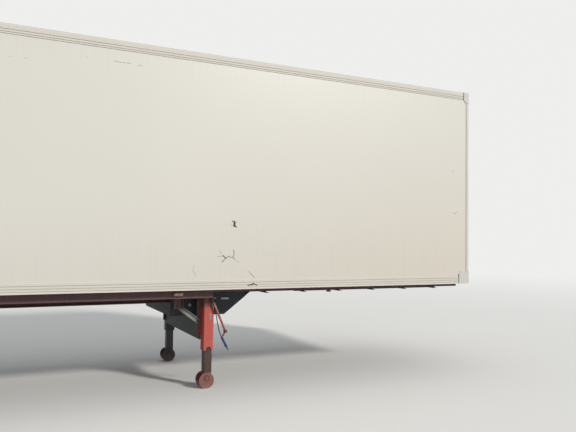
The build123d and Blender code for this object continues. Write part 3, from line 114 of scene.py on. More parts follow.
# Shader expressions
class Value:
    """A shader socket that Python's operators work on; each one adds a Math node."""

    def __init__(self, graph, socket):
        self.graph = graph
        self.socket = socket

    def math(self, operation, *others):
        """A Math node with this value first."""
        return self.graph.node("Math", dict(enumerate((self, *others))), operation=operation)

    def __add__(self, other):
        return self.math("ADD", other)

    def __sub__(self, other):
        return self.math("SUBTRACT", other)

    def __mul__(self, other):
        return self.math("MULTIPLY", other)

    def __truediv__(self, other):
        return self.math("DIVIDE", other)

    def __pow__(self, other):
        return self.math("POWER", other)

    def __rsub__(self, other):
        return self.graph.node("Math", {0: other, 1: self}, operation="SUBTRACT")

    def __abs__(self):
        return self.math("ABSOLUTE")

    __radd__ = __add__
    __rmul__ = __mul__

    def step(self, start, end):
        """0 up to start, 1 from end, and smooth between them; start may be the larger."""
        inputs = {"Value": self, "From Min": start, "From Max": end}
        return self.graph.node("MapRange", inputs, interpolation_type="SMOOTHSTEP", clamp=True)


class Graph:
    """A node tree in the making."""

    def __init__(self, tree):
        self.tree = tree
        self.tree.nodes.clear()

    def node(self, kind, inputs, output=0, **settings):
        """Any shader node: its settings are set first, then its sockets get values or links."""
        made = self.tree.nodes.new("ShaderNode" + kind)
        for name, value in settings.items():
            setattr(made, name, value)
        for key, value in inputs.items():
            if isinstance(value, Value):
                self.tree.links.new(value.socket, made.inputs[key])
            else:
                made.inputs[key].default_value = value
        return Value(self, made.outputs[output] if made.outputs else None)

    def seen(self):
        """1 for the camera's own, mirrored and refracted rays, 0 for the light that bounces."""
        rays = ("Is Camera Ray", "Is Glossy Ray", "Is Transmission Ray")
        straight, mirrored, refracted = (self.node("LightPath", {}, kind) for kind in rays)
        return straight.math("MAXIMUM", mirrored).math("MAXIMUM", refracted)


class Finish(Graph):
    """A material in the making, with the place on the object as x, y and z in metres."""

    def __init__(self, name):
        made = bpy.data.materials.new(name + FINISH)
        made.use_nodes = True
        super().__init__(made.node_tree)
        self.place = self.node("TexCoord", {}, "Object")
        self.x, self.y, self.z = (self.node("SeparateXYZ", {0: self.place}, axis) for axis in "XYZ")
        self.upward = self.node("SeparateXYZ", {0: self.node("NewGeometry", {}, "Normal")}, "Z")

    def noise(self, size, detail=4.0, stretch=(1, 1, 1)):
        """Cloudy values around 0.5, in patches about size metres across."""
        factors = [share / size for share in stretch]
        scaled = self.node("VectorMath", {0: self.place, 1: factors}, operation="MULTIPLY")
        return self.node("TexNoise", {"Vector": scaled, "Scale": 1.0, "Detail": detail})

    def mix(self, first, second, mask):
        """The first colour where mask is 0 and the second where it is 1."""
        first, second = (end if isinstance(end, Value) else shade(end) for end in (first, second))
        inputs = {0: mask, 6: first, 7: second}
        return self.node("Mix", inputs, output=2, data_type="RGBA", clamp_factor=True)

    def mottled(self, colour, dark, light, mask):
        """A colour times dark where mask is 0, and times light where it is 1."""
        return self.mix(shade(colour, dark), shade(colour, light), mask)

    def layers(self, colour, *coats):
        """A colour under coats, each one given as its colour and the mask of where it lies."""
        for coat, mask in coats:
            colour = self.mix(colour, coat, mask)
        return colour

    def line(self, x0, z0, x1, z1, width):
        """1 on a straight mark between two (x, z) places on a side wall, 0 away from it."""
        run, rise = x1 - x0, z1 - z0
        across, up = self.x - x0, self.z - z0
        share = (across * run + up * rise) / (run * run + rise * rise)
        share = share.math("MAXIMUM", 0).math("MINIMUM", 1)
        return distance(across - share * run, up - share * rise).step(width, width * 0.4)

    def done(self, colour, roughness, height, relief, **plain):
        """Close the material: colour, roughness and height may vary, the rest is constant."""
        bump = self.node("Bump", {"Height": height, "Strength": 1.0, "Distance": relief})
        inputs = {"Base Color": colour, "Roughness": roughness, "Normal": bump, **plain}
        shader = self.node("BsdfPrincipled", inputs)
        self.node("OutputMaterial", {"Surface": shader})


def distance(a, b):
    """How far a place lies that is a along one axis and b along another."""
    return (a ** 2 + b ** 2) ** 0.5


def shade(colour, factor=1.0):
    """A colour made lighter or darker, as four numbers."""
    return (*(min(1.0, c * factor) for c in colour[:3]), 1.0)


# Sizes and colours that a user may change
def tint(name, description, red, green, blue):
    """A colour property."""
    return FloatVectorProperty(
        name=name, description=description, default=(red, green, blue),
        subtype="COLOR", size=3, min=0.0, max=1.0,
    )


def length(name, description, metres):
    """A length property."""
    return FloatProperty(name=name, description=description, default=metres, unit="LENGTH", min=0.0)


class TrailerColours(bpy.types.PropertyGroup):
    """Colours of the main finishes"""

    walls: tint("Walls", "Gelcoat of the walls, roof and doors", 0.735, 0.725, 0.675)
    grime: tint("Grime", "Streaks and dirt on the body", 0.30, 0.25, 0.19)
    rails: tint("Rails", "Extrusions along the body's edges", 0.66, 0.635, 0.58)
    chassis: tint("Chassis", "Paint of the beams and side rails", 0.12, 0.06, 0.066)
    dark: tint("Dark frame", "Paint of the frame between the legs", 0.034, 0.045, 0.058)
    legs: tint("Legs", "Faded paint of the right landing leg", 0.54, 0.095, 0.08)
    dust: tint("Dust", "Road dust on steel parts", 0.26, 0.23, 0.20)
    cable: tint("Connector", "Plastic of the cable's connector", 0.03, 0.07, 0.22)


class TrailerSizes(bpy.types.PropertyGroup):
    """Sizes of the small fittings"""

    cable: length("Cable", "Diameter of the hanging cable", 0.012)
    groove: length("Tread depth", "Depth of the grooves round the tyres", 0.012)
    pitches: IntProperty(name="Tread pitches", description="Tread pitches round a tyre", default=64, min=24)
    bolt: length("Bolt", "Radius of the bolt heads on the frame", 0.0105)
    seal: length("Seal", "Radius of the lips round each door", 0.0028)


class TrailerStage(bpy.types.PropertyGroup):
    """Light and floor"""

    sky: FloatProperty(name="Sky", description="Strength of the even light from all round", default=0.54)
    key: FloatProperty(name="Key", description="Strength of the main lamp", default=2.3)
    floor: tint("Floor", "Colour of the studio floor", 0.84, 0.835, 0.82)
    bounce: tint("Bounce", "Colour of the floor for the light that it throws back", 0.30, 0.28, 0.25)


def colours():
    """The colour settings of the scene."""
    return bpy.context.scene.trailer_colours


def sizes():
    """The size settings of the scene."""
    return bpy.context.scene.trailer_sizes


# Finishes
MARK_SCUFF = (0.16, 0.13, 0.11, 1.0)
# MARK_DARK is near black: painted shade inside holes and cracks
MARK_DARK = (0.03, 0.026, 0.022, 1.0)

# Marks on the right-hand side: x and z of the start, x and z of the end, half width, darkness
WALL_MARKS = (
    (3.077, 2.031, 3.104, 2.018, 0.009, 0.9),
    (3.104, 2.018, 3.126, 2.019, 0.008, 0.8),
    (3.104, 2.022, 3.103, 1.974, 0.019, 1.0),
    (3.102, 1.981, 3.128, 1.961, 0.010, 1.0),
    (3.056, 1.981, 3.089, 1.979, 0.006, 0.6),
    (2.898, 1.607, 2.954, 1.613, 0.006, 0.6),
    (2.925, 1.673, 2.952, 1.634, 0.010, 0.25),
    (2.969, 1.619, 3.002, 1.588, 0.011, 0.9),
    (3.005, 1.591, 2.956, 1.546, 0.009, 0.8),
    (3.002, 1.588, 3.031, 1.608, 0.009, 0.7),
    (3.031, 1.613, 3.092, 1.593, 0.007, 0.7),
    (3.092, 1.593, 3.105, 1.642, 0.008, 0.8),
    (3.105, 1.642, 3.094, 1.687, 0.008, 0.75),
    (3.092, 1.593, 3.126, 1.566, 0.007, 0.5),
    (3.140, 1.560, 3.171, 1.540, 0.006, 0.3),
    (3.293, 1.433, 3.370, 1.358, 0.0055, 0.8),
    (2.616, 1.514, 2.599, 1.446, 0.006, 0.28),
    (2.599, 1.446, 2.624, 1.413, 0.006, 0.32),
    (2.624, 1.413, 2.642, 1.379, 0.006, 0.28),
    (1.654, 3.754, 1.703, 3.759, 0.007, 0.55),
    (1.714, 3.752, 1.780, 3.756, 0.007, 0.55),
    (1.797, 3.753, 1.846, 3.757, 0.007, 0.5),
    (1.924, 3.745, 1.966, 3.749, 0.007, 0.45),
    (1.369, 3.762, 1.385, 3.761, 0.007, 0.25),
    (0.618, 3.655, 0.644, 3.657, 0.007, 0.25),
    (0.754, 3.663, 0.788, 3.666, 0.007, 0.25),
    (6.440, 2.238, 6.483, 2.224, 0.006, 0.7),
    (6.483, 2.224, 6.524, 2.253, 0.006, 0.6),
    (6.421, 2.840, 6.464, 2.831, 0.010, 0.3),
)
RAIL_MARKS = (
    (3.286, 1.263, 3.323, 1.274, 0.009, 1.0),
    (3.330, 1.267, 3.360, 1.285, 0.012, 1.0),
    (3.356, 1.283, 3.401, 1.264, 0.009, 1.0),
)


def with_marks(finish, colour, marks):
    """The colour of a side with ragged dark marks on its right-hand face; the darkest are painted shade in
    holes and cracks.
    """
    ragged = finish.noise(0.018, 3.0).step(0.30, 0.45) * finish.y.step(0.1, -0.1)
    for *ends, width, darkness in marks:
        tone = MARK_DARK if darkness > 0.85 else MARK_SCUFF
        colour = finish.mix(colour, tone, finish.line(*ends, width) * ragged * darkness)
    return colour


def wall_finish(name, marks=()):
    """Weathered ivory gelcoat: clouds, rain streaks, dirt towards the rails, and any marks."""
    finish = Finish(name)
    clouds = finish.noise(1.4, 2.0)
    streaks = finish.noise(0.035, stretch=(1, 1, 0.03))
    toward_rail = finish.z.step(WALL_LOW + 0.9, WALL_LOW - 0.1)
    toward_roof = finish.z.step(WALL_HIGH - 0.35, WALL_HIGH)
    dirt = streaks.step(0.45, 0.78) * (toward_rail * 0.06 + toward_roof * 0.05 + 0.006)
    specks = finish.noise(0.03, 1.0).step(0.78, 0.82) * clouds.step(0.5, 0.6) * 0.2
    yellowed = finish.x.step(0.5, 6.7) * finish.z.step(3.7, 1.4)
    colour = finish.layers(
        finish.mottled(colours().walls, 0.985, 1.012, clouds),
        ((0.71, 0.66, 0.59), yellowed * 0.75),
        ((0.655, 0.620, 0.560), toward_rail * 0.42),
        (colours().grime, dirt + specks),
    )
    colour = with_marks(finish, colour, marks)
    waves = finish.noise(0.5, 1.0) * 0.8 + finish.noise(0.012, 2.0) * 0.03
    finish.done(colour, clouds * 0.12 + dirt * 0.5 + 0.32, waves, relief=0.0012)


def rail_finish(name):
    """Painted aluminium extrusion: dull, with dabs of dirt, darker in its grooves and lighter along its lower
    lip.
    """
    finish = Finish(name)
    base = colours().rails
    along = finish.noise(0.25, stretch=(0.25, 1, 1))
    dabs = finish.noise(0.03).step(0.58, 0.7)
    grooves = abs(finish.y).step(RAIL_Y - 0.003, RAIL_Y - 0.0045)
    lip = finish.z.step(BODY_LOW + 0.024, BODY_LOW + 0.018)
    colour = finish.layers(
        finish.mottled(base, 0.98, 1.09, along),
        (colours().grime, dabs * 0.10 + grooves * 0.80),
        (shade(base, 1.1), lip * 0.8),
    )
    colour = with_marks(finish, colour, RAIL_MARKS)
    finish.done(colour, along * 0.15 + 0.55, finish.noise(0.006, 2.0), relief=0.0004)


def cast_finish(name):
    """Sand-cast corner pieces, pale and pitted."""
    finish = Finish(name)
    clouds = finish.noise(0.08)
    colour = finish.mottled((0.66, 0.655, 0.63), 0.86, 1.05, clouds)
    colour = finish.mix(colour, colours().grime, clouds.step(0.55, 0.75) * 0.35)
    finish.done(colour, clouds * 0.2 + 0.5, finish.noise(0.004, 3.0), relief=0.0008)


STEEL_BROWN = (0.10, 0.055, 0.035)


def paint_table():
    """Rows of name: (colour, share of dust, share of chips, roughness, metallic, what chips lay bare)."""
    tones = colours()
    return {
        "steel_frame": ((0.60, 0.585, 0.545), 0.20, 0.35, 0.45),
        "galvanised": ((0.46, 0.47, 0.47), 0.25, 0.5, 0.48, 0.7, (0.62, 0.62, 0.60)),
        "chassis_paint": (tones.chassis, 0.30, 0.5, 0.62),
        "dark_paint": (tones.dark, 0.22, 0.35, 0.62),
        "leg_dark_paint": ((0.04, 0.038, 0.043), 0.2, 0.4, 0.6),
        "black_steel": ((0.028, 0.028, 0.03), 0.40, 0.5, 0.55),
        "black_plastic": ((0.03, 0.03, 0.031), 0.45, 0.2, 0.6, 0.0, (0.06, 0.06, 0.06)),
        "rim_steel": ((0.40, 0.395, 0.38), 0.40, 0.55, 0.45, 0.3),
        "bolt_paint": ((0.075, 0.062, 0.064), 0.30, 0.5, 0.55),
        "bolt_steel": ((0.36, 0.35, 0.33), 0.25, 0.6, 0.42, 0.8),
        "blue_plastic": (tones.cable, 0.12, 0.5, 0.42, 0.0, shade(tones.cable, 1.7)),
    }


def painted(name, colour, dusty, chipped, roughness, metallic=0.0, bare=STEEL_BROWN):
    """Paint or plastic with clouds of tone, chips to what lies under it and dust on its ledges."""
    finish = Finish(name)
    clouds = finish.noise(0.22)
    fine = finish.noise(0.02, 5.0)
    runs = finish.noise(0.05, 3.0, stretch=(1, 1, 0.15))
    chips = finish.noise(0.035, 6.0).step(0.60, 0.64) * clouds.step(0.42, 0.6) * chipped
    dust = (finish.upward.step(0.3, 0.95) * 0.7 + runs.step(0.45, 0.75) * 0.5) * dusty
    colour = finish.layers(
        finish.mottled(colour, 0.82, 1.14, clouds),
        (bare, chips),
        (colours().dust, dust + fine * 0.1 * dusty),
    )
    rough = chips * 0.15 + dust * 0.3 + clouds * 0.12 + (roughness - 0.06)
    finish.done(colour, rough, fine * 0.4 - chips, relief=0.0005, Metallic=metallic)


def bracing_finish(name):
    """The dark panel between the legs, the maroon hangers and the pale strut on each side."""
    finish = Finish(name)
    clouds = finish.noise(0.15)
    fine = finish.noise(0.02, 5.0)
    hanger = finish.x.step(HANGER_X + 0.056, HANGER_X + 0.054) * finish.z.step(0.958, 0.962)
    outer = finish.layers(
        finish.mix((0.19, 0.195, 0.19), (0.35, 0.355, 0.35), clouds),
        (STEEL_BROWN, fine.step(0.58, 0.68) * 0.5),
        (finish.mottled(colours().chassis, 1.1, 2.1, clouds), hanger),
    )
    colour = finish.layers(
        finish.mottled(colours().dark, 0.48, 0.78, clouds),
        (outer, abs(finish.y).step(PLATE_Y + 0.001, PLATE_Y + 0.003)),
        (colours().dust, finish.upward.step(0.3, 0.9) * 0.3 + fine * 0.03),
    )
    finish.done(colour, clouds * 0.15 + 0.5, fine, relief=0.0005)


def coupler_finish(name):
    """Painted plate, rubbed to greasy steel round the kingpin, and the bare kingpin itself."""
    finish = Finish(name)
    clouds = finish.noise(0.22)
    fine = finish.noise(0.02, 5.0)
    from_pin = distance(finish.x - KINGPIN_X, finish.y)
    below = finish.z.step(PLATE_FACE + 0.002, PLATE_FACE + 0.001)
    rubbed = (from_pin + clouds * 0.25).step(0.62, 0.50) * below
    bare = (rubbed + from_pin.step(0.050, 0.046)).math("MINIMUM", 1)
    steel = finish.mix((0.10, 0.085, 0.075), (0.24, 0.22, 0.20), fine)
    colour = finish.layers(
        finish.mottled(colours().chassis, 0.82, 1.14, clouds),
        (finish.mix(steel, (0.025, 0.022, 0.020), clouds.step(0.40, 0.60) * 0.8), bare),
        (colours().dust, finish.upward.step(0.3, 0.95) * 0.3),
    )
    finish.done(colour, 0.62 - bare * 0.22, fine * 0.4 + bare, relief=0.0004, Metallic=bare * 0.5)


def leg_finish(name):
    """Faded red tube with worn edges, dark brown at its top from painted shade and dirt, on a brown mounting
    plate.
    """
    finish = Finish(name)
    clouds = finish.noise(0.22)
    patches = finish.noise(0.045, 5.0)
    fine = finish.noise(0.012)
    edge = finish.x.step(LEG_X + 0.046, LEG_X + 0.060) * patches.step(0.38, 0.52)
    plate = finish.mix((0.12, 0.062, 0.056), (0.23, 0.105, 0.095), patches)
    colour = finish.layers(
        finish.mottled(colours().legs, 0.82, 1.12, clouds),
        ((0.50, 0.27, 0.25), patches.step(0.55, 0.75) * 0.35 + edge * 0.5),
        ((0.16, 0.075, 0.06), fine.step(0.60, 0.70) * 0.45),
        # dark brown from z 0.97 up: painted shade of the body over the leg's top, with some dirt
        ((0.15, 0.085, 0.08), (finish.z + patches * 0.03).step(0.965, 1.015) * 0.85),
        (plate, finish.x.step(LEG_X - 0.064, LEG_X - 0.066)),
        (colours().dust, finish.upward.step(0.3, 0.9) * 0.4),
    )
    finish.done(colour, clouds * 0.15 + 0.5, fine * 0.6 + patches, relief=0.0006)


def leg_drive_finish(name):
    """Shaft and crank: red arm with pinkish patches of wear and painted highlight, paler at its top, and a
    dark knob.
    """
    finish = Finish(name)
    clouds = finish.noise(0.05)
    worn = finish.noise(0.02, 5.0).step(0.52, 0.66)
    knob = finish.z.step(0.712, 0.706) * finish.z.step(0.660, 0.666)
    hub = finish.z.step(1.035, 1.045)
    inboard = finish.y.step(-LEG_OUTER, PLATE_Y - LEG_OUTER - 0.7)
    colour = finish.layers(
        finish.mottled(colours().legs, 0.45, 0.9, clouds),
        # pinkish patches and a paler top: wear, with painted highlights on the arm
        ((0.36, 0.235, 0.20), worn * 0.7 + finish.z.step(0.82, 0.98) * 0.5),
        (finish.mix((0.05, 0.03, 0.028), (0.12, 0.07, 0.06), clouds), knob + hub + inboard),
    )
    finish.done(colour, clouds * 0.2 + 0.42, worn + clouds, relief=0.0005)


def inner_leg_finish(name):
    """Greasy sliding tube above, and the foot's own dusty paint below."""
    finish = Finish(name)
    clouds = finish.noise(0.06)
    scored = finish.noise(0.012, 3.0, stretch=(1, 1, 0.04))
    from_pin = distance(finish.x - FOOT_PIN_X, finish.z - FOOT_PIN_Z)
    ring = (from_pin + clouds * 0.012).step(0.050, 0.040) * from_pin.step(0.024, 0.027)
    foot = finish.layers(
        finish.mix((0.17, 0.070, 0.060), (0.30, 0.135, 0.12), clouds),
        (colours().dust, finish.z.step(0.05, 0.0) * 0.5),
        (STEEL_BROWN, finish.noise(0.03, 5.0).step(0.60, 0.68) * 0.5),
        ((0.045, 0.024, 0.020), ring * 0.7),
    )
    on_foot = finish.z.step(0.188, 0.184)
    left_leg = finish.mix((0.038, 0.040, 0.044), (0.072, 0.070, 0.072), clouds)
    colour = finish.layers(
        finish.mix((0.036, 0.022, 0.018), (0.095, 0.058, 0.045), clouds),
        ((0.14, 0.10, 0.08), scored.step(0.5, 0.7) * 0.35),
        (foot, on_foot),
        (left_leg, finish.y.step(-0.1, 0.1) * 0.85),
    )
    roughness = clouds * 0.2 + on_foot * 0.2 + 0.38
    finish.done(colour, roughness, scored * 0.4 + clouds, relief=0.0006, Metallic=0.2)


def rubber_finish(name, colour, dust):
    """Matt rubber with a thin, uneven bloom of dust."""
    finish = Finish(name)
    clouds = finish.noise(0.09)
    bloom = finish.noise(0.6, 5.0) * 0.6 + finish.noise(0.015) * 0.4
    colour = finish.mottled(colour, 0.85, 1.3, clouds)
    colour = finish.mix(colour, colours().dust, bloom.step(0.35, 0.75) * dust)
    finish.done(colour, clouds * 0.15 + 0.68, finish.noise(0.004, 3.0), relief=0.0004)


def lens_finish(name, colour):
    """Clear coloured plastic over a ribbed inside."""
    finish = Finish(name)
    ribs = finish.node("TexWave", {"Vector": finish.place, "Scale": 60.0}, bands_direction="X")
    clouds = finish.noise(0.05, 3.0)
    colour = finish.mottled(colour, 0.75, 1.15, ribs * 0.6 + clouds * 0.4)
    clear = {"Coat Weight": 0.6, "Transmission Weight": 0.25, "IOR": 1.49}
    finish.done(colour, clouds * 0.15 + 0.12, ribs, relief=0.0006, **clear)


def floor_board_finish(name):
    """Load floor: extruded planks 50 mm wide, scuffed along the trailer."""
    finish = Finish(name)
    groove = (finish.y / 0.05).math("FRACT").step(0.12, 0.0)
    worn = finish.noise(0.06, stretch=(0.06, 1, 1))
    colour = finish.mix((0.30, 0.29, 0.28), (0.46, 0.45, 0.43), worn)
    colour = finish.mix(colour, (0.07, 0.065, 0.06), groove * 0.8)
    finish.done(colour, worn * 0.3 + 0.35, 1 - groove, relief=0.002, Metallic=0.4)


# Mesh building
def around(steps):
    """The angles of evenly spaced points round a circle."""
    return [2 * pi * k / steps for k in range(steps)]


def spoke(turn):
    """The direction from a wheel's axis at an angle."""
    return Vector((cos(turn), 0, sin(turn)))


def spaced(start, end, count):
    """Evenly spaced values from start to end."""
    return [start + k * (end - start) / (count - 1) for k in range(count)]


def circle(mesh, middle, side, other, radius, steps):
    """A ring of new points round a middle; radius 0 makes a single point."""
    turns = around(steps if radius else 1)
    return [mesh.verts.new(middle + (side * cos(t) + other * sin(t)) * radius) for t in turns]


def skin(mesh, near, far, closed=True):
    """Faces between two rings of points, or triangles between a ring and a single point."""
    count = max(len(near), len(far))
    for k in range(count if closed else count - 1):
        order = ((near, k), (near, k + 1), (far, k + 1), (far, k))
        corners = dict.fromkeys(ring[index % len(ring)] for ring, index in order)
        mesh.faces.new(list(corners))


def joined(mesh, rings, closed=False, capped=False):
    """Skin from ring to ring; closed goes on to the first again, capped fills both ends."""
    for near, far in zip(rings, rings[1:] + rings[:1] if closed else rings[1:]):
        skin(mesh, near, far)
    if capped:
        mesh.faces.new(rings[0])
        mesh.faces.new(rings[-1])


def turned(mesh, profile, origin, axis, steps=24, closed=False):
    """Turn (along, radius) points about an axis; radius 0 closes an end, closed joins both ends."""
    axis = Vector(axis).normalized()
    side = axis.orthogonal().normalized()
    other = axis.cross(side)
    places = [(Vector(origin) + axis * along, radius) for along, radius in profile]
    joined(mesh, [circle(mesh, place, side, other, radius, steps) for place, radius in places], closed)


def swept(mesh, points, radius, steps=10, closed=False):
    """A round bar along a list of points, with flat ends unless it is closed."""
    points = [Vector(p) for p in points]
    count = len(points)
    side = None
    rings = []
    for k, point in enumerate(points):
        before = points[k - 1] if k or closed else point
        after = points[(k + 1) % count] if k < count - 1 or closed else point
        along = (after - before).normalized()
        side = along.orthogonal() if side is None else side - along * side.dot(along)
        side.normalize()
        rings.append(circle(mesh, point, side, along.cross(side), radius, steps))
    joined(mesh, rings, closed, capped=not closed)


def slab(mesh, outline, origin, across, up, thickness, bevel):
    """A plate: an outline of (across, up) points from origin, thickened along their cross product."""
    across, up = Vector(across), Vector(up)
    outward = across.cross(up)
    base = [Vector(origin) + across * a + up * b for a, b in outline]
    middle = sum(base, Vector()) / len(base)
    rings = []
    for lift, inset in ((0.0, 0.0), (thickness - bevel, 0.0), (thickness, bevel)):
        places = [point + (middle - point).normalized() * inset + outward * lift for point in base]
        rings.append([mesh.verts.new(place) for place in places])
    joined(mesh, rings, capped=True)


def rounded(width, height, radius, corner_steps=4):
    """The outline of a rectangle with round corners, centred on 0, 0."""
    points = []
    for quarter, (sx, sy) in enumerate(((1, 1), (-1, 1), (-1, -1), (1, -1))):
        cx, cy = sx * (width / 2 - radius), sy * (height / 2 - radius)
        for k in range(corner_steps + 1):
            turn = (quarter + k / corner_steps) * pi / 2
            points.append((cx + radius * cos(turn), cy + radius * sin(turn)))
    return points


def hex_bolt(mesh, place, axis, radius):
    """A washer with a six-sided head whose top is dished at the rim."""
    washer = [(0, 0), (0, 1.45), (0.2, 1.45), (0.2, 0)]
    head = [(0.2, 1), (0.8, 1), (0.95, 0.82), (0.95, 0)]
    for profile, steps in ((washer, 20), (head, 6)):
        turned(mesh, [(a * radius, r * radius) for a, r in profile], place, axis, steps)


def rivet(mesh, place, axis, radius):
    """A low domed rivet head."""
    dome = [(0, 1), (0.28, 0.86), (0.45, 0.5), (0.52, 0)]
    turned(mesh, [(a * radius, r * radius) for a, r in dome], place, axis, 12)


def strap_bolt(mesh, place, axis, radius):
    """The shallow round head of a carriage bolt."""
    head = [(0, 1), (0.0010, 0.97), (0.0020, 0.75), (0.0026, 0.4), (0.0027, 0)]
    turned(mesh, [(a, r * radius) for a, r in head], place, axis, 20)


def placed(name, data):
    """An object in the scene."""
    made = bpy.data.objects.new(name, data)
    bpy.context.scene.collection.objects.link(made)
    return made


def material(name):
    """A finish that has been made."""
    return bpy.data.materials[name + FINISH]


def solid(name, mesh, finish):
    """An object made of a mesh and a finish."""
    data = bpy.data.meshes.new(name)
    mesh.to_mesh(data)
    mesh.free()
    data.materials.append(material(finish))
    return placed(name, data)


def piece(name, mesh, finish, body="trailer", sharp=35):
    """A mesh as a piece with its finish, riding on a body."""
    bmesh.ops.recalc_face_normals(mesh, faces=mesh.faces)
    made = solid(name, mesh, finish)
    made.data.polygons.foreach_set("use_smooth", [True] * len(made.data.polygons))
    made.data.set_sharp_from_angle(angle=radians(sharp))
    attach(made, body)
    return made


# Cable: its places, and sections of the connector's grip as (along, radius)
CABLE_X = LEG_X + 0.091
CABLE_Y = 0.050 - LEG_OUTER
CABLE_ROUTE = [
    (CABLE_X, CABLE_Y, 1.075), (CABLE_X, CABLE_Y, 0.975), (LEG_X + 0.112, CABLE_Y, 0.865),
    (LEG_X + 0.133, CABLE_Y, 0.757), (LEG_X + 0.159, CABLE_Y, 0.650), (LEG_X + 0.184, CABLE_Y, 0.603),
]
GRIP_RING = ((0.012, 0.0135), (0.0132, 0.0156), (0.0168, 0.0156), (0.018, 0.0135))
GRIP_RINGS = 9
GRIP_PITCH = 0.0095
GRIP_COLLAR = ((0.104, 0.0135), (0.106, 0.0172), (0.128, 0.0172), (0.132, 0.0160), (0.132, 0.0135))


class TRAILER_OT_cable(bpy.types.Operator):
    """Hang the cable from its clip, with the blue connector on its end"""

    bl_idname = "trailer.cable"
    bl_label = "Cable"

    def execute(self, context):
        curve = bpy.data.curves.new("cable_run", "CURVE")
        curve.dimensions = "3D"
        curve.bevel_depth = sizes().cable / 2
        curve.bevel_resolution = 5
        curve.resolution_u = 16
        curve.use_fill_caps = True
        spline = curve.splines.new("NURBS")
        spline.points.add(len(CABLE_ROUTE) - 1)
        for point, place in zip(spline.points, CABLE_ROUTE):
            point.co = (*place, 1.0)
        spline.order_u = 3
        spline.use_endpoint_u = True
        curve.materials.append(material("black_rubber"))
        run = placed("cable_run", curve)
        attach(run, "trailer")
        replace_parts(run, "hanging_cable")

        end = Vector(CABLE_ROUTE[-1])
        along = end - Vector(CABLE_ROUTE[-2])
        rings = [[(a + k * GRIP_PITCH, r) for a, r in GRIP_RING] for k in range(GRIP_RINGS)]
        grip = bmesh.new()
        for section in (*rings, GRIP_COLLAR):
            turned(grip, section, end, along, 28, closed=True)
        plug = piece("cable_grip", grip, "blue_plastic")
        return {"FINISHED"}


# Packed nodes with a finish of their own
OWN_FINISHES = {
    "side_wall_right": "marked_wall", "leg_left_outer_tube": "leg_dark_paint",
    "leg_bracing": "bracing_paint", "leg_drive": "crank_paint", "coupler_plate": "coupler_paint",
}


class TRAILER_OT_finishes(bpy.types.Operator):
    """Make every finish and lay it on the packed nodes"""

    bl_idname = "trailer.finishes"
    bl_label = "Finishes"

    def execute(self, context):
        wall_finish("white_skin")
        wall_finish("marked_wall", WALL_MARKS)
        rail_finish("rail_aluminium")
        cast_finish("cast_caps")
        for name, row in paint_table().items():
            painted(name, *row)
        coupler_finish("coupler_paint")
        leg_finish("leg_paint")
        inner_leg_finish("bare_steel")
        rubber_finish("black_rubber", (0.022, 0.022, 0.023), 0.35)
        rubber_finish("tyre", (0.026, 0.026, 0.027), 0.28)
        lens_finish("lamp_plastic", (0.30, 0.10, 0.05))
        lens_finish("amber_lens", (0.80, 0.40, 0.22))
        lens_finish("red_lens", (0.42, 0.02, 0.02))
        lens_finish("clear_lens", (0.85, 0.82, 0.78))
        floor_board_finish("floor_board")
        bracing_finish("bracing_paint")
        leg_drive_finish("crank_paint")
        for row in frame["record"]["subparts"]:
            name = OWN_FINISHES.get(row["node"], row["material_slot"])
            for slot in frame["nodes"][row["node"]].material_slots:
                slot.material = material(name)
        return {"FINISHED"}


# Tyres: offset and half width of each rib, and sections as (across, radius)
RIBS = ((-0.135, 0.030), (-0.068, 0.026), (0, 0.026), (0.068, 0.026), (0.135, 0.030))
SIDEWALL = (
    (0.148, 0.288), (0.153, 0.292), (0.155, 0.302), (0.163, 0.318), (0.168, 0.322), (0.171, 0.330),
    (0.1795, 0.352), (0.1865, 0.378), (0.1915, 0.405),
)
SHOULDER = ((0.1915, 0.428), (0.1865, 0.455), (0.1800, 0.478), (0.1755, 0.489))
ZIGZAG = 0.004
BLOCK_SHARE = 0.62


class TRAILER_OT_tyres(bpy.types.Operator):
    """Build the six tyres with sidewalls, ribs and shoulder blocks"""

    bl_idname = "trailer.tyres"
    bl_label = "Tyres"

    def execute(self, context):
        for wheel in WHEELS:
            self.tyre(wheel, wheel + "_tyre")
        return {"FINISHED"}

    def tyre(self, wheel, node):
        """One tyre at its node's place."""
        middle = centre(node)
        half, radius = (high(node).y - low(node).y) / 2, (high(node).z - low(node).z) / 2
        inner = radius - sizes().groove
        mesh = bmesh.new()
        carcass = [*SIDEWALL, (half, 0.416), *SHOULDER, (0.1700, inner - 0.003), (0.160, inner)]
        profile = [(-y, r) for y, r in carcass] + carcass[::-1]
        turned(mesh, profile, middle, (0, 1, 0), 72, closed=True)
        for offset, width in RIBS:
            self.rib(mesh, middle, offset, width, inner, radius)
        for side in SIDES.values():
            self.shoulder(mesh, middle, side, inner, radius)
        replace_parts(piece(wheel + "_tread_tyre", mesh, "tyre", body=wheel, sharp=28), node)

    def section(self, mesh, middle, turn, corners):
        """New points of a section, given as (across, radius), at one angle of the tyre."""
        return [mesh.verts.new(middle + spoke(turn) * r + Vector((0, y, 0))) for y, r in corners]

    def rib(self, mesh, middle, offset, width, inner, outer):
        """A raised rib whose edges zigzag round the tyre."""
        rings = []
        for k, turn in enumerate(around(sizes().pitches * 2)):
            y = offset + (ZIGZAG if k % 2 else -ZIGZAG)
            corners = (
                (y - width, inner - 0.002), (y + 0.0025 - width, outer),
                (y + width - 0.0025, outer), (y + width, inner - 0.002),
            )
            rings.append(self.section(mesh, middle, turn, corners))
        for near, far in zip(rings, rings[1:] + rings[:1]):
            skin(mesh, near, far, closed=False)

    def shoulder(self, mesh, middle, side, inner, outer):
        """A row of blocks down the tyre's shoulder."""
        count = sizes().pitches
        corners = [
            (side * 0.1635, outer - 0.0005), (side * 0.1700, outer - 0.014),
            (side * 0.1795, outer - 0.045), (side * 0.158, inner - 0.02),
        ]
        for turn in around(count):
            ends = (turn, turn + BLOCK_SHARE * 2 * pi / count)
            joined(mesh, [self.section(mesh, middle, end, corners) for end in ends], capped=True)


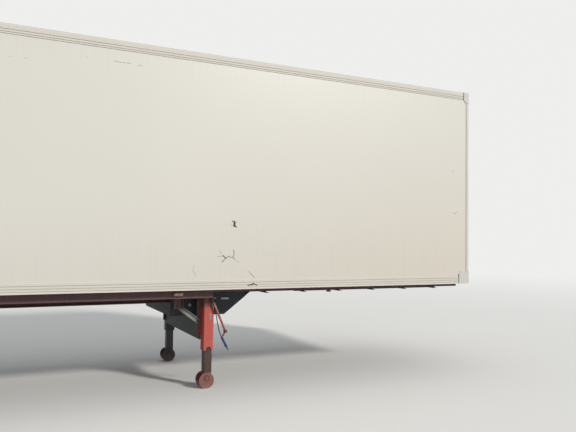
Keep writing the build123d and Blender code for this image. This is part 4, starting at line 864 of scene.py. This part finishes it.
# Joints behind the front castings: how far back, lower end, upper end
CASTING_JOINTS = (
    (0.193, BODY_LOW + 0.004, BODY_LOW + 0.138), (0.107, BODY_HIGH - 0.111, BODY_HIGH - 0.004),
)
JOINT_RADIUS = 0.0045
SEALANT_RADIUS = 0.0028


class TRAILER_OT_seals(bpy.types.Operator):
    """Run rubber lips round each rear door, and sealant beside the posts and the front castings"""

    bl_idname = "trailer.seals"
    bl_label = "Door seals and sealant"

    def execute(self, context):
        radius = sizes().seal
        for door in ("door_right", "door_left"):
            span, middle = high(door) - low(door), centre(door)
            outline = rounded(span.y + radius * 1.2, span.z + radius * 1.2, 0.004, 3)
            lips = bmesh.new()
            for x in (REAR_X + 0.016, REAR_X + 0.044):
                loop = [(x, middle.y + a, middle.z + b) for a, b in outline]
                swept(lips, loop, radius, 8, closed=True)
            piece(door + "_seal", lips, "black_rubber", body=door + "_leaf")
        beads = bmesh.new()
        for sign in SIDES.values():
            wall, rail = sign * (WALL_Y + 0.0006), sign * (RAIL_Y + 0.0002)
            for x in (FRONT_X - 0.055, REAR_X + 0.100):
                swept(beads, [(x, wall, z) for z in (WALL_LOW + 0.004, WALL_HIGH - 0.004)], SEALANT_RADIUS, 8)
            for back, *ends in CASTING_JOINTS:
                swept(beads, [(FRONT_X - back, rail, z) for z in ends], JOINT_RADIUS, 8)
        piece("wall_sealant", beads, "black_rubber")
        return {"FINISHED"}


# Bolts that point outward: x, distance from the middle plane, height, share of the bolt's size
SUPPORT_FACE = 0.663
HANGER_FACE = PLATE_Y + 0.012
PLATE_BOLTS = [(LEG_X - 0.089, PLATE_Y, z, 1.0) for z in spaced(0.655, 1.047, 5)]
BARE_BOLTS_AND_GLINT = [
    (LEG_X + 0.014, LEG_OUTER, 0.889, 1.15), (LEG_X + 0.014, LEG_OUTER, 0.847, 1.15),
    # a pale bolt where a bright spot shows in the shade: painted highlight
    (LEG_X - 0.159, SUPPORT_FACE, 0.985, 1.3),
]
FRAME_BOLTS = [
    (HANGER_X - 0.028, HANGER_FACE, 1.128, 1.0), (HANGER_X + 0.028, HANGER_FACE, 1.128, 1.0),
    (HANGER_X - 0.012, HANGER_FACE, 0.985, 1.0), (LEG_X - 0.098, PLATE_Y + 0.006, 0.803, 1.0),
    *((LEG_X + x, SUPPORT_FACE, 1.105, 1.0) for x in (-0.33, -0.16, 0.13)),
    *((REAR_X + x, BEAM_Y + 0.04, BEAM_LOW - 0.035, 1.0) for x in (0.2749, 0.3599)),
    *((REAR_X + x, BEAM_Y + 0.04, BEAM_LOW - 0.085, 1.0) for x in (0.2569, 0.3419)),
]
# Rivets of the castings: how far back on the side or in on the front, and how high
SIDE_RIVETS = (
    (0.030, BODY_LOW + 0.150), (0.030, BODY_LOW + 0.060), (0.100, BODY_LOW + 0.045),
    (0.165, BODY_LOW + 0.045), (0.030, BODY_HIGH - 0.130), (0.030, BODY_HIGH - 0.060),
    (0.080, BODY_HIGH - 0.040),
)
FRONT_RIVETS = [
    (inset, z) for inset, rise in ((0.045, 0.045), (0.100, 0.045), (0.035, 0.120))
    for z in (BODY_LOW + rise, BODY_HIGH - rise)
]
RIVET_RADIUS = 0.0065


class TRAILER_OT_fasteners(bpy.types.Operator):
    """Set the bolts and rivets of the frame, legs, doors and castings"""

    bl_idname = "trailer.fasteners"
    bl_label = "Bolts and rivets"

    def execute(self, context):
        radius = sizes().bolt
        frame_bolts, bare_bolts, rivets = bmesh.new(), bmesh.new(), bmesh.new()
        for side, paint in (("right", "leg_paint"), ("left", "leg_dark_paint")):
            sign = SIDES[side]
            plate_bolts = bmesh.new()
            meshes = plate_bolts, bare_bolts, frame_bolts
            for mesh, rows in zip(meshes, (PLATE_BOLTS, BARE_BOLTS_AND_GLINT, FRAME_BOLTS)):
                for x, y, z, size in rows:
                    hex_bolt(mesh, (x, sign * y, z), (0, sign, 0), radius * size)
            piece(f"leg_{side}_plate_bolts", plate_bolts, paint, sharp=25)
            for y in (BEAM_Y - 0.02, BEAM_Y + 0.02):
                hex_bolt(frame_bolts, (REAR_X + 0.160, sign * y, 0.485), (-1, 0, 0), radius * 0.8)
            # a pale steel tab that stands in for a glint on the frame: painted highlight
            glint_tab = (LEG_X + 0.306, sign * SUPPORT_FACE, 1.053)
            slab(bare_bolts, rounded(0.100, 0.022, 0.006), glint_tab, (-sign, 0, 0), UP, 0.004, 0.001)
            for back, z in SIDE_RIVETS:
                rivet(rivets, (FRONT_X - back, sign * CAP_FACE, z), (0, sign, 0), RIVET_RADIUS)
            for inset, z in FRONT_RIVETS:
                rivet(rivets, (FRONT_X, sign * (CAP_FACE - inset), z), (1, 0, 0), RIVET_RADIUS)
        hex_bolt(bare_bolts, (CABLE_X - 0.006, CABLE_Y - 0.014, 1.086), (0, -1, 0), radius * 0.55)
        piece("frame_bolts", frame_bolts, "bolt_paint", sharp=25)
        piece("bare_bolts", bare_bolts, "bolt_steel", sharp=25)
        piece("casting_rivets", rivets, "cast_caps")
        for side, sign in SIDES.items():
            self.door(side, sign)
        return {"FINISHED"}

    def door(self, side, sign):
        """The bolts of a door's hinge straps and lock-bar guides, which move with it."""
        mesh = bmesh.new()
        for z in spaced(DOOR_LOW + 0.164, DOOR_HIGH - 0.164, 4):
            for inset in (0.125, 0.205, 0.300):
                strap_bolt(mesh, (STRAP_X, sign * (HINGE_Y - inset), z), (-1, 0, 0), 0.0115)
        for z in spaced(DOOR_LOW + 0.085, DOOR_HIGH - 0.085, 4):
            for bar in (0.170, 0.880):
                for aside in (-0.021, 0.021):
                    hex_bolt(mesh, (REAR_X - 0.013, sign * bar + aside, z), (-1, 0, 0), 0.0058)
        piece(f"door_{side}_hardware_bolts", mesh, "bolt_steel", f"door_{side}_leaf", 25)


# Lamps: sections as (along, radius), and place and width of a rear lamp's chambers
REFLECTOR = (
    (0, 0.0125), (0.0078, 0.0125), (0.0088, 0.0112), (0.0088, 0.0088), (0.0070, 0.0072), (0.0080, 0),
)
LENS_RING = ((0.006, 0.034), (0.011, 0.034), (0.012, 0.031), (0.0095, 0))
MARKER_Z = 1.167
CHAMBER_Z = 1.090
CHAMBERS = ((0.975, 0.105), (0.850, 0.125), (0.725, 0.105))


class TRAILER_OT_lamps(bpy.types.Operator):
    """Fit the lenses of the side markers and the rear lamps"""

    bl_idname = "trailer.lamps"
    bl_label = "Lamp lenses"

    def execute(self, context):
        amber, red, clear = bmesh.new(), bmesh.new(), bmesh.new()
        for sign in SIDES.values():
            y = sign * (RAIL_FACE + 0.030)
            marker = rounded(0.108, 0.030, 0.013, 5)
            for x in spaced(LEG_X - 0.449, REAR_X + 0.420, 3):
                slab(amber, marker, (x, y, MARKER_Z), (-sign, 0, 0), UP, 0.0055, 0.003)
                for aside in (-0.028, 0.028):
                    turned(clear, REFLECTOR, (x + aside, y, MARKER_Z), (0, sign, 0))
            for mesh, (y, width) in zip((amber, red, clear), CHAMBERS):
                place = (low("rear_panel").x - 0.033, sign * y, CHAMBER_Z)
                slab(mesh, rounded(width, 0.100, 0.012), place, (0, -1, 0), UP, 0.007, 0.004)
                turned(mesh, LENS_RING, place, (-1, 0, 0), 28)
        piece("marker_lenses", amber, "amber_lens")
        piece("red_lenses", red, "red_lens")
        piece("reflector_rings", clear, "clear_lens")
        return {"FINISHED"}


# Axle clamps: reach of a U-bolt's legs from the axle's middle, and their plate's top
CLAMP_REACH = AXLE_RADIUS + 0.0115
CLAMP_TOP = AXLE_Z + AXLE_RADIUS + 0.045


class TRAILER_OT_axle_clamps(bpy.types.Operator):
    """Bend the U-bolts that clamp the axles to the trailing arms"""

    bl_idname = "trailer.axle_clamps"
    bl_label = "Axle clamps"

    def execute(self, context):
        mesh = bmesh.new()
        bend = [(CLAMP_REACH * cos(t), AXLE_Z - CLAMP_REACH * sin(t)) for t in spaced(0, pi, 15)]
        loop = [(CLAMP_REACH, CLAMP_TOP + 0.028), *bend, (-CLAMP_REACH, CLAMP_TOP + 0.028)]
        plate = rounded(2 * CLAMP_REACH + 0.04, 0.10, 0.012)
        for axle in AXLE_NAMES:
            x = centre(f"wheel_{axle}_right_tyre").x
            for arm in (-BEAM_Y, BEAM_Y):
                for y in (arm - 0.03, arm + 0.03):
                    swept(mesh, [(x + a, y, z) for a, z in loop], 0.0095)
                    for end in (x - CLAMP_REACH, x + CLAMP_REACH):
                        hex_bolt(mesh, (end, y, CLAMP_TOP - 0.002), UP, 0.0175)
                slab(mesh, plate, (x, arm, CLAMP_TOP - 0.010), (1, 0, 0), (0, 1, 0), 0.010, 0.002)
        piece("axle_u_bolts", mesh, "black_steel")
        return {"FINISHED"}


# Hub caps: sections as (along, radius), and the valve's points as (away, along)
WHEEL_Y = 1.045
CAP_PROFILE = (
    (0.156, 0.086), (0.164, 0.086), (0.166, 0.083), (0.166, 0.070), (0.172, 0.068),
    (0.176, 0.064), (0.1765, 0.030), (0.1785, 0.026), (0.1785, 0),
)
STUD_PROFILE = ((0.126, 0.0105), (0.136, 0.0105), (0.138, 0.009), (0.138, 0))
VALVE = ((0.215, 0.070), (0.221, 0.090), (0.237, 0.115))
VALVE_CAP = ((0, 0.0045), (0, 0.0062), (0.014, 0.0062), (0.016, 0))


class TRAILER_OT_hub_caps(bpy.types.Operator):
    """Close each wheel's hub with a cap, and add its bolts and the valve"""

    bl_idname = "trailer.hub_caps"
    bl_label = "Hub caps and valves"

    def execute(self, context):
        for wheel in WHEELS:
            sign = SIDES[wheel.split("_")[-1]]
            outward = Vector((0, sign, 0))
            hub = centre(wheel + "_rim")
            hub.y = sign * WHEEL_Y
            mesh = bmesh.new()
            turned(mesh, CAP_PROFILE, hub, outward, 40)
            for turn in around(8):
                hex_bolt(mesh, hub + spoke(turn) * 0.0765 + outward * 0.166, outward, 0.0055)
            for turn in around(10):
                turned(mesh, STUD_PROFILE, hub + spoke(turn) * 0.1675, outward, 12)
            valve = [hub + spoke(0) * reach + outward * along for reach, along in VALVE]
            swept(mesh, valve, 0.0045, 8)
            turned(mesh, VALVE_CAP, valve[2], valve[2] - valve[1], 10)
            piece(wheel + "_hub_cap", mesh, "rim_steel", body=wheel, sharp=28)
        return {"FINISHED"}


# Load space: the rail's section as (inward, up) and its sockets' as (along, radius)
KICK_PLATES = 8
KICK_RIVETS = 6
KICK_HEIGHT = 0.320
RAIL_HEIGHTS = (2.10, 3.00)
RAIL_SOCKETS = 66
LOAD_RAIL = (
    (0, -0.060), (0.004, -0.056), (0.004, -0.034), (0.010, -0.026),
    (0.010, 0.026), (0.004, 0.034), (0.004, 0.056), (0, 0.060),
)
SOCKET = ((-0.0095, 0.0155), (-0.0122, 0.0150), (-0.0122, 0.0110), (-0.0102, 0.0105), (-0.0102, 0))


class TRAILER_OT_load_space(bpy.types.Operator):
    """Line the load space with kick plates and load rails"""

    bl_idname = "trailer.load_space"
    bl_label = "Kick plates and load rails"

    def execute(self, context):
        inside, top = high("floor").y, high("floor").z
        start, end = low("floor").x + 0.02, low("front_wall").x - 0.02
        half = (end - start) / KICK_PLATES / 2
        outline = rounded(2 * half - 0.004, KICK_HEIGHT, 0.004, 2)
        mesh = bmesh.new()
        for sign in SIDES.values():
            for x in self.middles(start, end, KICK_PLATES):
                slab(mesh, outline, (x, sign * inside, top + 0.165), (sign, 0, 0), UP, 0.003, 0.0015)
                for at in self.middles(x - half, x + half, KICK_RIVETS):
                    for z in (top + 0.030, top + 0.300):
                        rivet(mesh, (at, sign * (inside - 0.003), z), (0, -sign, 0), 0.006)
            for height in RAIL_HEIGHTS:
                rings = [
                    [mesh.verts.new((x, sign * (inside - a), height + b)) for a, b in LOAD_RAIL]
                    for x in (start, end)
                ]
                joined(mesh, rings, capped=True)
                for x in self.middles(start, end, RAIL_SOCKETS):
                    turned(mesh, SOCKET, (x, sign * inside, height), (0, sign, 0), 12)
        piece("load_space_linings", mesh, "rail_aluminium")
        return {"FINISHED"}

    def middles(self, start, end, count):
        """The middles of equal lengths from start to end."""
        return [start + (k + 0.5) * (end - start) / count for k in range(count)]


# Front couplings: sections as (along, radius), and the outline of a head's cover
HEAD = ((0.032, 0.026), (0.034, 0.031), (0.036, 0.031), (0.036, 0.026))
COVER = ((0, 0), (-0.030, 0.004), (-0.034, 0.018), (-0.026, 0.030), (0, 0.034), (-0.010, 0.010))
LID = ((0.048, 0.0365), (0.051, 0.0365), (0.0535, 0.033), (0.0535, 0.012), (0.0515, 0.010), (0.0515, 0))


class TRAILER_OT_couplings(bpy.types.Operator):
    """Dress the air couplings and sockets on the front wall"""

    bl_idname = "trailer.couplings"
    bl_label = "Front couplings"

    def execute(self, context):
        face, z = low("front_couplings").x, centre("front_couplings").z
        metal, plastic = bmesh.new(), bmesh.new()
        for y in (-0.240, 0.240):
            turned(metal, HEAD, (face, y, z), (1, 0, 0), 32, closed=True)
            slab(metal, COVER, (face + 0.036, y, z + 0.018), (0, 1, 0), UP, 0.006, 0.001)
        for y in (-0.120, 0.0, 0.120):
            turned(plastic, LID, (face, y, z), (1, 0, 0), 32)
            swept(metal, [(face + 0.046, y + end, z + 0.039) for end in (-0.016, 0.016)], 0.0045)
        for y in (-0.285, 0.285):
            for up in (-0.062, 0.062):
                hex_bolt(metal, (face + 0.008, y, z + up), (1, 0, 0), 0.0065)
        piece("coupling_heads", metal, "bolt_steel", sharp=25)
        piece("socket_lids", plastic, "black_plastic")
        return {"FINISHED"}


# Stage, with the camera as solved from the photograph
PHOTO_WIDTH = 576
CAMERA_PLACE = (0.5409, -8.0407, 1.81)
CAMERA_YAW = 0.4512
CAMERA_PITCH = 0.0404
CAMERA_ROLL = 0.0128
FOCAL_PIXELS = 602.99
BACKGROUND = (0.86, 0.86, 0.85, 1.0)
SKY_COLOUR = (0.94, 0.97, 1.0, 1.0)
KEY_COLOUR = (1.0, 0.965, 0.90)
KEY_FROM = (0.511, -0.860, 0.525)
FLOOR_RADIUS = 90.0


class TRAILER_OT_stage(bpy.types.Operator):
    """Set up the camera, the studio floor and the light"""

    bl_idname = "trailer.stage"
    bl_label = "Stage"

    def execute(self, context):
        stage = context.scene.trailer_stage
        self.camera(context)
        self.floor(stage)
        self.light(context, stage)
        return {"FINISHED"}

    def camera(self, context):
        """The photograph's viewpoint."""
        level = Vector((cos(CAMERA_YAW), -sin(CAMERA_YAW), 0))
        ahead = Vector((sin(CAMERA_YAW), cos(CAMERA_YAW), 0))
        forward = ahead * cos(CAMERA_PITCH) + Vector(UP) * sin(CAMERA_PITCH)
        upright = level.cross(forward)
        right = level * cos(CAMERA_ROLL) + upright * sin(CAMERA_ROLL)
        up = upright * cos(CAMERA_ROLL) - level * sin(CAMERA_ROLL)
        data = bpy.data.cameras.new("photo_camera")
        data.lens = FOCAL_PIXELS / PHOTO_WIDTH * data.sensor_width
        data.clip_end = 300
        camera = placed("photo_camera", data)
        columns = Matrix((right, up, -forward)).transposed().to_4x4()
        camera.matrix_world = Matrix.Translation(CAMERA_PLACE) @ columns
        context.scene.camera = camera

    def floor(self, stage):
        """A wide pale floor that shows the shadow."""
        finish = Finish("studio_floor")
        clouds = finish.noise(3.0)
        fine = finish.noise(0.02, 3.0)
        seen = finish.seen()
        colour = finish.mottled(stage.floor, 0.97, 1.02, clouds * 0.6 + fine * 0.4)
        colour = finish.mix(stage.bounce, colour, seen)
        bump = finish.node("Bump", {"Height": fine, "Strength": 1.0, "Distance": 0.0006})
        near = finish.node("BsdfPrincipled", {
            "Base Color": colour, "Roughness": 0.85, "Normal": bump, "Specular IOR Level": 0.2,
        })
        far = finish.node("Emission", {"Color": BACKGROUND})
        reach = distance(finish.x, finish.y).step(9.0, 34.0)
        blend = finish.node("MixShader", {0: reach * seen, 1: near, 2: far})
        finish.node("OutputMaterial", {"Surface": blend})
        mesh = bmesh.new()
        turned(mesh, [(0, FLOOR_RADIUS), (0, 0)], (0, 0, 0), UP, 96)
        solid("studio_floor", mesh, "studio_floor")

    def light(self, context, stage):
        """Even light from all round, a soft key lamp, and a pale background for the camera."""
        world = bpy.data.worlds.new("studio")
        world.use_nodes = True
        graph = Graph(world.node_tree)
        even = graph.node("Background", {"Color": SKY_COLOUR, "Strength": stage.sky})
        shown = graph.node("Background", {"Color": BACKGROUND})
        choice = graph.node("MixShader", {0: graph.seen(), 1: even, 2: shown})
        graph.node("OutputWorld", {"Surface": choice})
        context.scene.world = world

        lamp = bpy.data.lights.new("key_lamp", "SUN")
        lamp.energy = stage.key
        lamp.angle = radians(7)
        lamp.color = KEY_COLOUR
        key = placed("key_lamp", lamp)
        key.rotation_mode = "QUATERNION"
        key.rotation_quaternion = Vector(KEY_FROM).to_track_quat("Z", "Y")
        context.scene.view_settings.view_transform = "Standard"


OPERATORS = (
    TRAILER_OT_stage,
    TRAILER_OT_finishes,
    TRAILER_OT_cable,
    TRAILER_OT_tyres,
    TRAILER_OT_hub_caps,
    TRAILER_OT_axle_clamps,
    TRAILER_OT_seals,
    TRAILER_OT_fasteners,
    TRAILER_OT_lamps,
    TRAILER_OT_load_space,
    TRAILER_OT_couplings,
)
GROUPS = {
    "trailer_colours": TrailerColours,
    "trailer_sizes": TrailerSizes,
    "trailer_stage": TrailerStage,
}


class TRAILER_PT_panel(bpy.types.Panel):
    """Settings and steps of the trailer's dressing"""

    bl_idname = "TRAILER_PT_panel"
    bl_label = "Semi-Trailer"
    bl_space_type = "VIEW_3D"
    bl_region_type = "UI"
    bl_category = "Trailer"

    def draw(self, context):
        layout = self.layout
        for attribute, group in GROUPS.items():
            box = layout.box()
            box.label(text=group.__doc__)
            for name in group.__annotations__:
                box.prop(getattr(context.scene, attribute), name)
        for operator in OPERATORS:
            layout.operator(operator.bl_idname)


CLASSES = (*GROUPS.values(), *OPERATORS, TRAILER_PT_panel)


def register():
    """Register the settings, the operators and the panel."""
    for kind in CLASSES:
        bpy.utils.register_class(kind)
    for attribute, group in GROUPS.items():
        setattr(bpy.types.Scene, attribute, PointerProperty(type=group))


def unregister():
    """Take back everything that register added."""
    for attribute in GROUPS:
        delattr(bpy.types.Scene, attribute)
    for kind in reversed(CLASSES):
        bpy.utils.unregister_class(kind)


def main():
    """Dress the trailer, step by step."""
    register()
    for operator in OPERATORS:
        group, step = operator.bl_idname.split(".")
        getattr(getattr(bpy.ops, group), step)()


if __name__ == "__main__":
    main()
